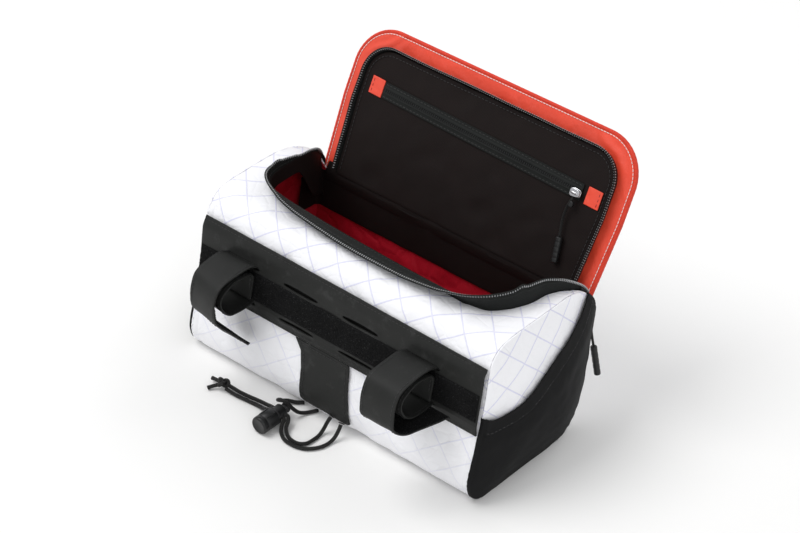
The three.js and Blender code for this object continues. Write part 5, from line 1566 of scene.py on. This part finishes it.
class BAG_OT_cords(bpy.types.Operator):
    """Shock cords with their lock and knot, and both zip pulls with their grips"""

    bl_idname = "bag.cords"
    bl_label = "Cords"

    def execute(self, context):
        knot = self.lock_and_knot()
        for name in ("lace_inner", "lace_outer", "toggle_loop"):
            cord_piece(name + "_cord", name, far_end="object")
        for name in ("tail_upper", "tail_lower"):
            cord_piece(name + "_cord", "cord_" + name, [knot], far_end="knot")

        rims = []
        for name in ("lace_inner", "lace_outer"):
            last, before = np.array(LACES[name][-1]), np.array(LACES[name][-2])
            go = unit(last - before)
            w = np.linspace(0, 2 * np.pi, 40)
            a = unit(np.cross(go, SIDE))
            ring = last + go * 1.1 + 2.1 * (np.cos(w)[:, None] * a + np.sin(w)[:, None] * np.cross(go, a))
            rims.append(carried(ring, ring_of(0.45, 8), capped=False))
        make("lace_eyelets", rims, "plastic")

        lid_way = np.array([0, np.cos(LID_SLOPE), np.sin(LID_SLOPE)])
        lid_out = np.array([0, -np.sin(LID_SLOPE), np.cos(LID_SLOPE)])
        across, up = POCKET_PULL[0][:2]
        place = on_pocket(across, up + GAP + 3.5, 1.8)
        make("pocket_slider_body", slider_shapes(place, SIDE, lid_way, lid_out), "metal", "pocket_slider")
        place = on_pocket(across + 0.3, up - 5.2, 2.6)
        make("pocket_pull_block", pebble(place, lid_way, SIDE, lid_out, (4.6, 3.6, 2.6), 0, 0.7), "plastic")
        stop = rim(np.array([0.0]))[0][0] + (1.5, 1.0, -6.5)
        make("zip_stop_clip", pebble(stop, UP, SIDE, -WAY, (3.6, 2.2, 1.4), 0, 0.6), "metal")
        points = [on_pocket(*row) for row in POCKET_PULL]
        self.pull("pocket", points, on_pocket(*POCKET_GRIP_FOOT, GRIP / 2 + GAP), POCKET_GRIP_LENGTH)
        make("main_slider_body", slider_shapes(MAIN_SLIDER, SIDE, UP, WAY), "metal", "main_slider")
        self.pull("main", [np.array(p, float) for p in MAIN_PULL], np.array(MAIN_GRIP_FOOT, float), MAIN_GRIP_LENGTH)
        return {"FINISHED"}

    def lock_and_knot(self):
        """The lock with its ribs and the rims of its holes, its button, and the knot."""
        x, _, z = LOCK_PLACE
        parts = [turned(LOCK_PROFILE, LOCK_PLACE - WAY * LOCK_LENGTH / 2, LOCK_PLACE, 56)]
        for a in (-0.55, 0.55):
            out = unit(UP * np.cos(a) + SIDE * np.sin(a))
            size = (9.5, 1.7, 0.75)
            parts.append(pebble(LOCK_PLACE + WAY * 1.2, WAY, np.cross(out, WAY), out, size, LOCK_WIDE - 0.35, 0.7))
        w, a = circle(30)[:, None], circle(10)[:, None]
        outwards = np.cos(w) * WAY + np.sin(w) * UP
        tube = HOLE_SIZE * outwards[:, None] + HOLE_RIM * (np.cos(a) * outwards[:, None] + np.sin(a) * SIDE)
        tube = np.concatenate([tube, tube[:1]])
        for sign in (-1, 1):
            for cord_y in LOCK_HOLES:
                parts.append(grid(np.array([x + sign * HOLE_OUT, cord_y, z]) + tube, wrap=True))
        make("cord_lock_body", parts, "plastic", "cord_lock")
        start = LOCK_PLACE + WAY * (LOCK_LENGTH / 2 + LOCK_NECK_LENGTH + GAP)
        make("cord_lock_cap", turned(CAP_PROFILE, start, start + WAY, 44), "plastic", "cord_lock_button")

        t = np.linspace(0, 2 * np.pi, 150)
        wind = stacked(np.sin(t) + 2 * np.sin(2 * t), 0.88 * (np.cos(t) - 2 * np.cos(2 * t)), -np.sin(3 * t))
        shapes = [carried(KNOT_PLACE + wind * KNOT_SIZE + UP * KNOT_LIFT, ring_of(CORD / 2 * 1.05, 14))]
        for tip in KNOT_STUBS:
            path = route([KNOT_PLACE, KNOT_PLACE * 0.4 + np.array(tip) * 0.6 + (0, 0, 0.5), tip], 26)
            flare = np.concatenate([np.ones(20), np.linspace(1, 1.16, 6)])
            shapes.append(carried(path, ring_of(CORD / 2, 14), scale=flare))
        return make("cord_knot_tied", shapes, "braid", "cord_knot")

    def pull(self, name, points, foot, length):
        """A pull: its cord from the slider and the ridged grip that the cord goes into."""
        head = points[-1]
        start = head + unit(foot - head) * GAP
        grip = make(name + "_grip", turned(ridged(GRIP / 2, length, 5, 0.14), start, foot, 36), "plastic",
                    name + "_pull_grip")
        path = route(points, 60)
        cord = make(name + "_pull", carried(path, ring_of(PULL_CORD / 2, 12)), "braid", name + "_pull_cord")
        max(0.03, float(travelled(path)[-1]) * MM)


class BAG_OT_stage(bpy.types.Operator):
    """Floor, soft lights and the camera"""

    bl_idname = "bag.stage"
    bl_label = "Stage"

    def execute(self, context):
        a, b = mesh_of(*[(-FLOOR_HALF, FLOOR_HALF, 3)] * 2)
        verts, quads, _ = grid(stacked(a, b, 0))
        mesh = bpy.data.meshes.new("floor")
        mesh.from_pydata(verts * MM, [], quads)
        mesh.materials.append(finish("floor"))
        floor = bpy.data.objects.new("floor", mesh)
        context.collection.objects.link(floor)

        east, north = np.sin(AZIMUTH), np.cos(AZIMUTH)
        d = np.array([-east * np.cos(ELEVATION), north * np.cos(ELEVATION), -np.sin(ELEVATION)])
        r = np.array([north, east, 0])
        lens = bpy.data.cameras.new("camera")
        lens.lens, lens.sensor_width = LENS, SENSOR
        lens.clip_start, lens.clip_end = 0.05, 50
        camera = bpy.data.objects.new("camera", lens)
        rows = np.eye(4)
        rows[:3] = np.stack([r, np.cross(r, d), -d, (CAMERA_AIM + SHIFT - d * CAMERA_FAR) * MM], -1)
        camera.matrix_world = Matrix(rows.tolist())
        context.collection.objects.link(camera)
        context.scene.camera = camera

        for name, (spot, size, power) in LAMPS.items():
            lamp = bpy.data.lights.new(name, "AREA")
            lamp.shape, lamp.size, lamp.energy = "DISK", size, power
            light = bpy.data.objects.new(name, lamp)
            light.location = spot
            light.rotation_euler = (Vector(LAMP_AIM) - Vector(spot)).to_track_quat("-Z", "Y").to_euler()
            context.collection.objects.link(light)
        world = bpy.data.worlds.new("studio")
        world.use_nodes = True
        back = world.node_tree.nodes["Background"]
        back.inputs["Color"].default_value = SKY
        back.inputs["Strength"].default_value = SKY_POWER
        context.scene.world = world
        context.scene.view_settings.view_transform = "Standard"
        return {"FINISHED"}


STEPS = (
    BAG_OT_stage, BAG_OT_cords, BAG_OT_body, BAG_OT_inside, BAG_OT_opening, BAG_OT_rear, BAG_OT_straps, BAG_OT_ends,
    BAG_OT_lid, BAG_OT_lid_pocket,
)


class BAG_PT_panel(bpy.types.Panel):
    """Sizes, colours and the steps in order"""

    bl_idname = "BAG_PT_panel"
    bl_label = "Handlebar bag"
    bl_space_type = "VIEW_3D"
    bl_region_type = "UI"
    bl_category = "Bag"

    def draw(self, context):
        for group in (context.scene.bag_sizes, context.scene.bag_colours):
            for name in group.__annotations__:
                self.layout.prop(group, name)
        for step in STEPS:
            self.layout.operator(step.bl_idname)


CLASSES = (BagSizes, BagColours, *STEPS, BAG_PT_panel)


def register():
    for cls in CLASSES:
        bpy.utils.register_class(cls)
    bpy.types.Scene.bag_sizes = PointerProperty(type=BagSizes)
    bpy.types.Scene.bag_colours = PointerProperty(type=BagColours)


def unregister():
    del bpy.types.Scene.bag_colours
    del bpy.types.Scene.bag_sizes
    for cls in reversed(CLASSES):
        bpy.utils.unregister_class(cls)


def main():
    register()
    for step in STEPS:
        group, name = step.bl_idname.split(".")
        getattr(getattr(bpy.ops, group), name)()
    bpy.context.view_layer.update()


if __name__ == "__main__":
    main()
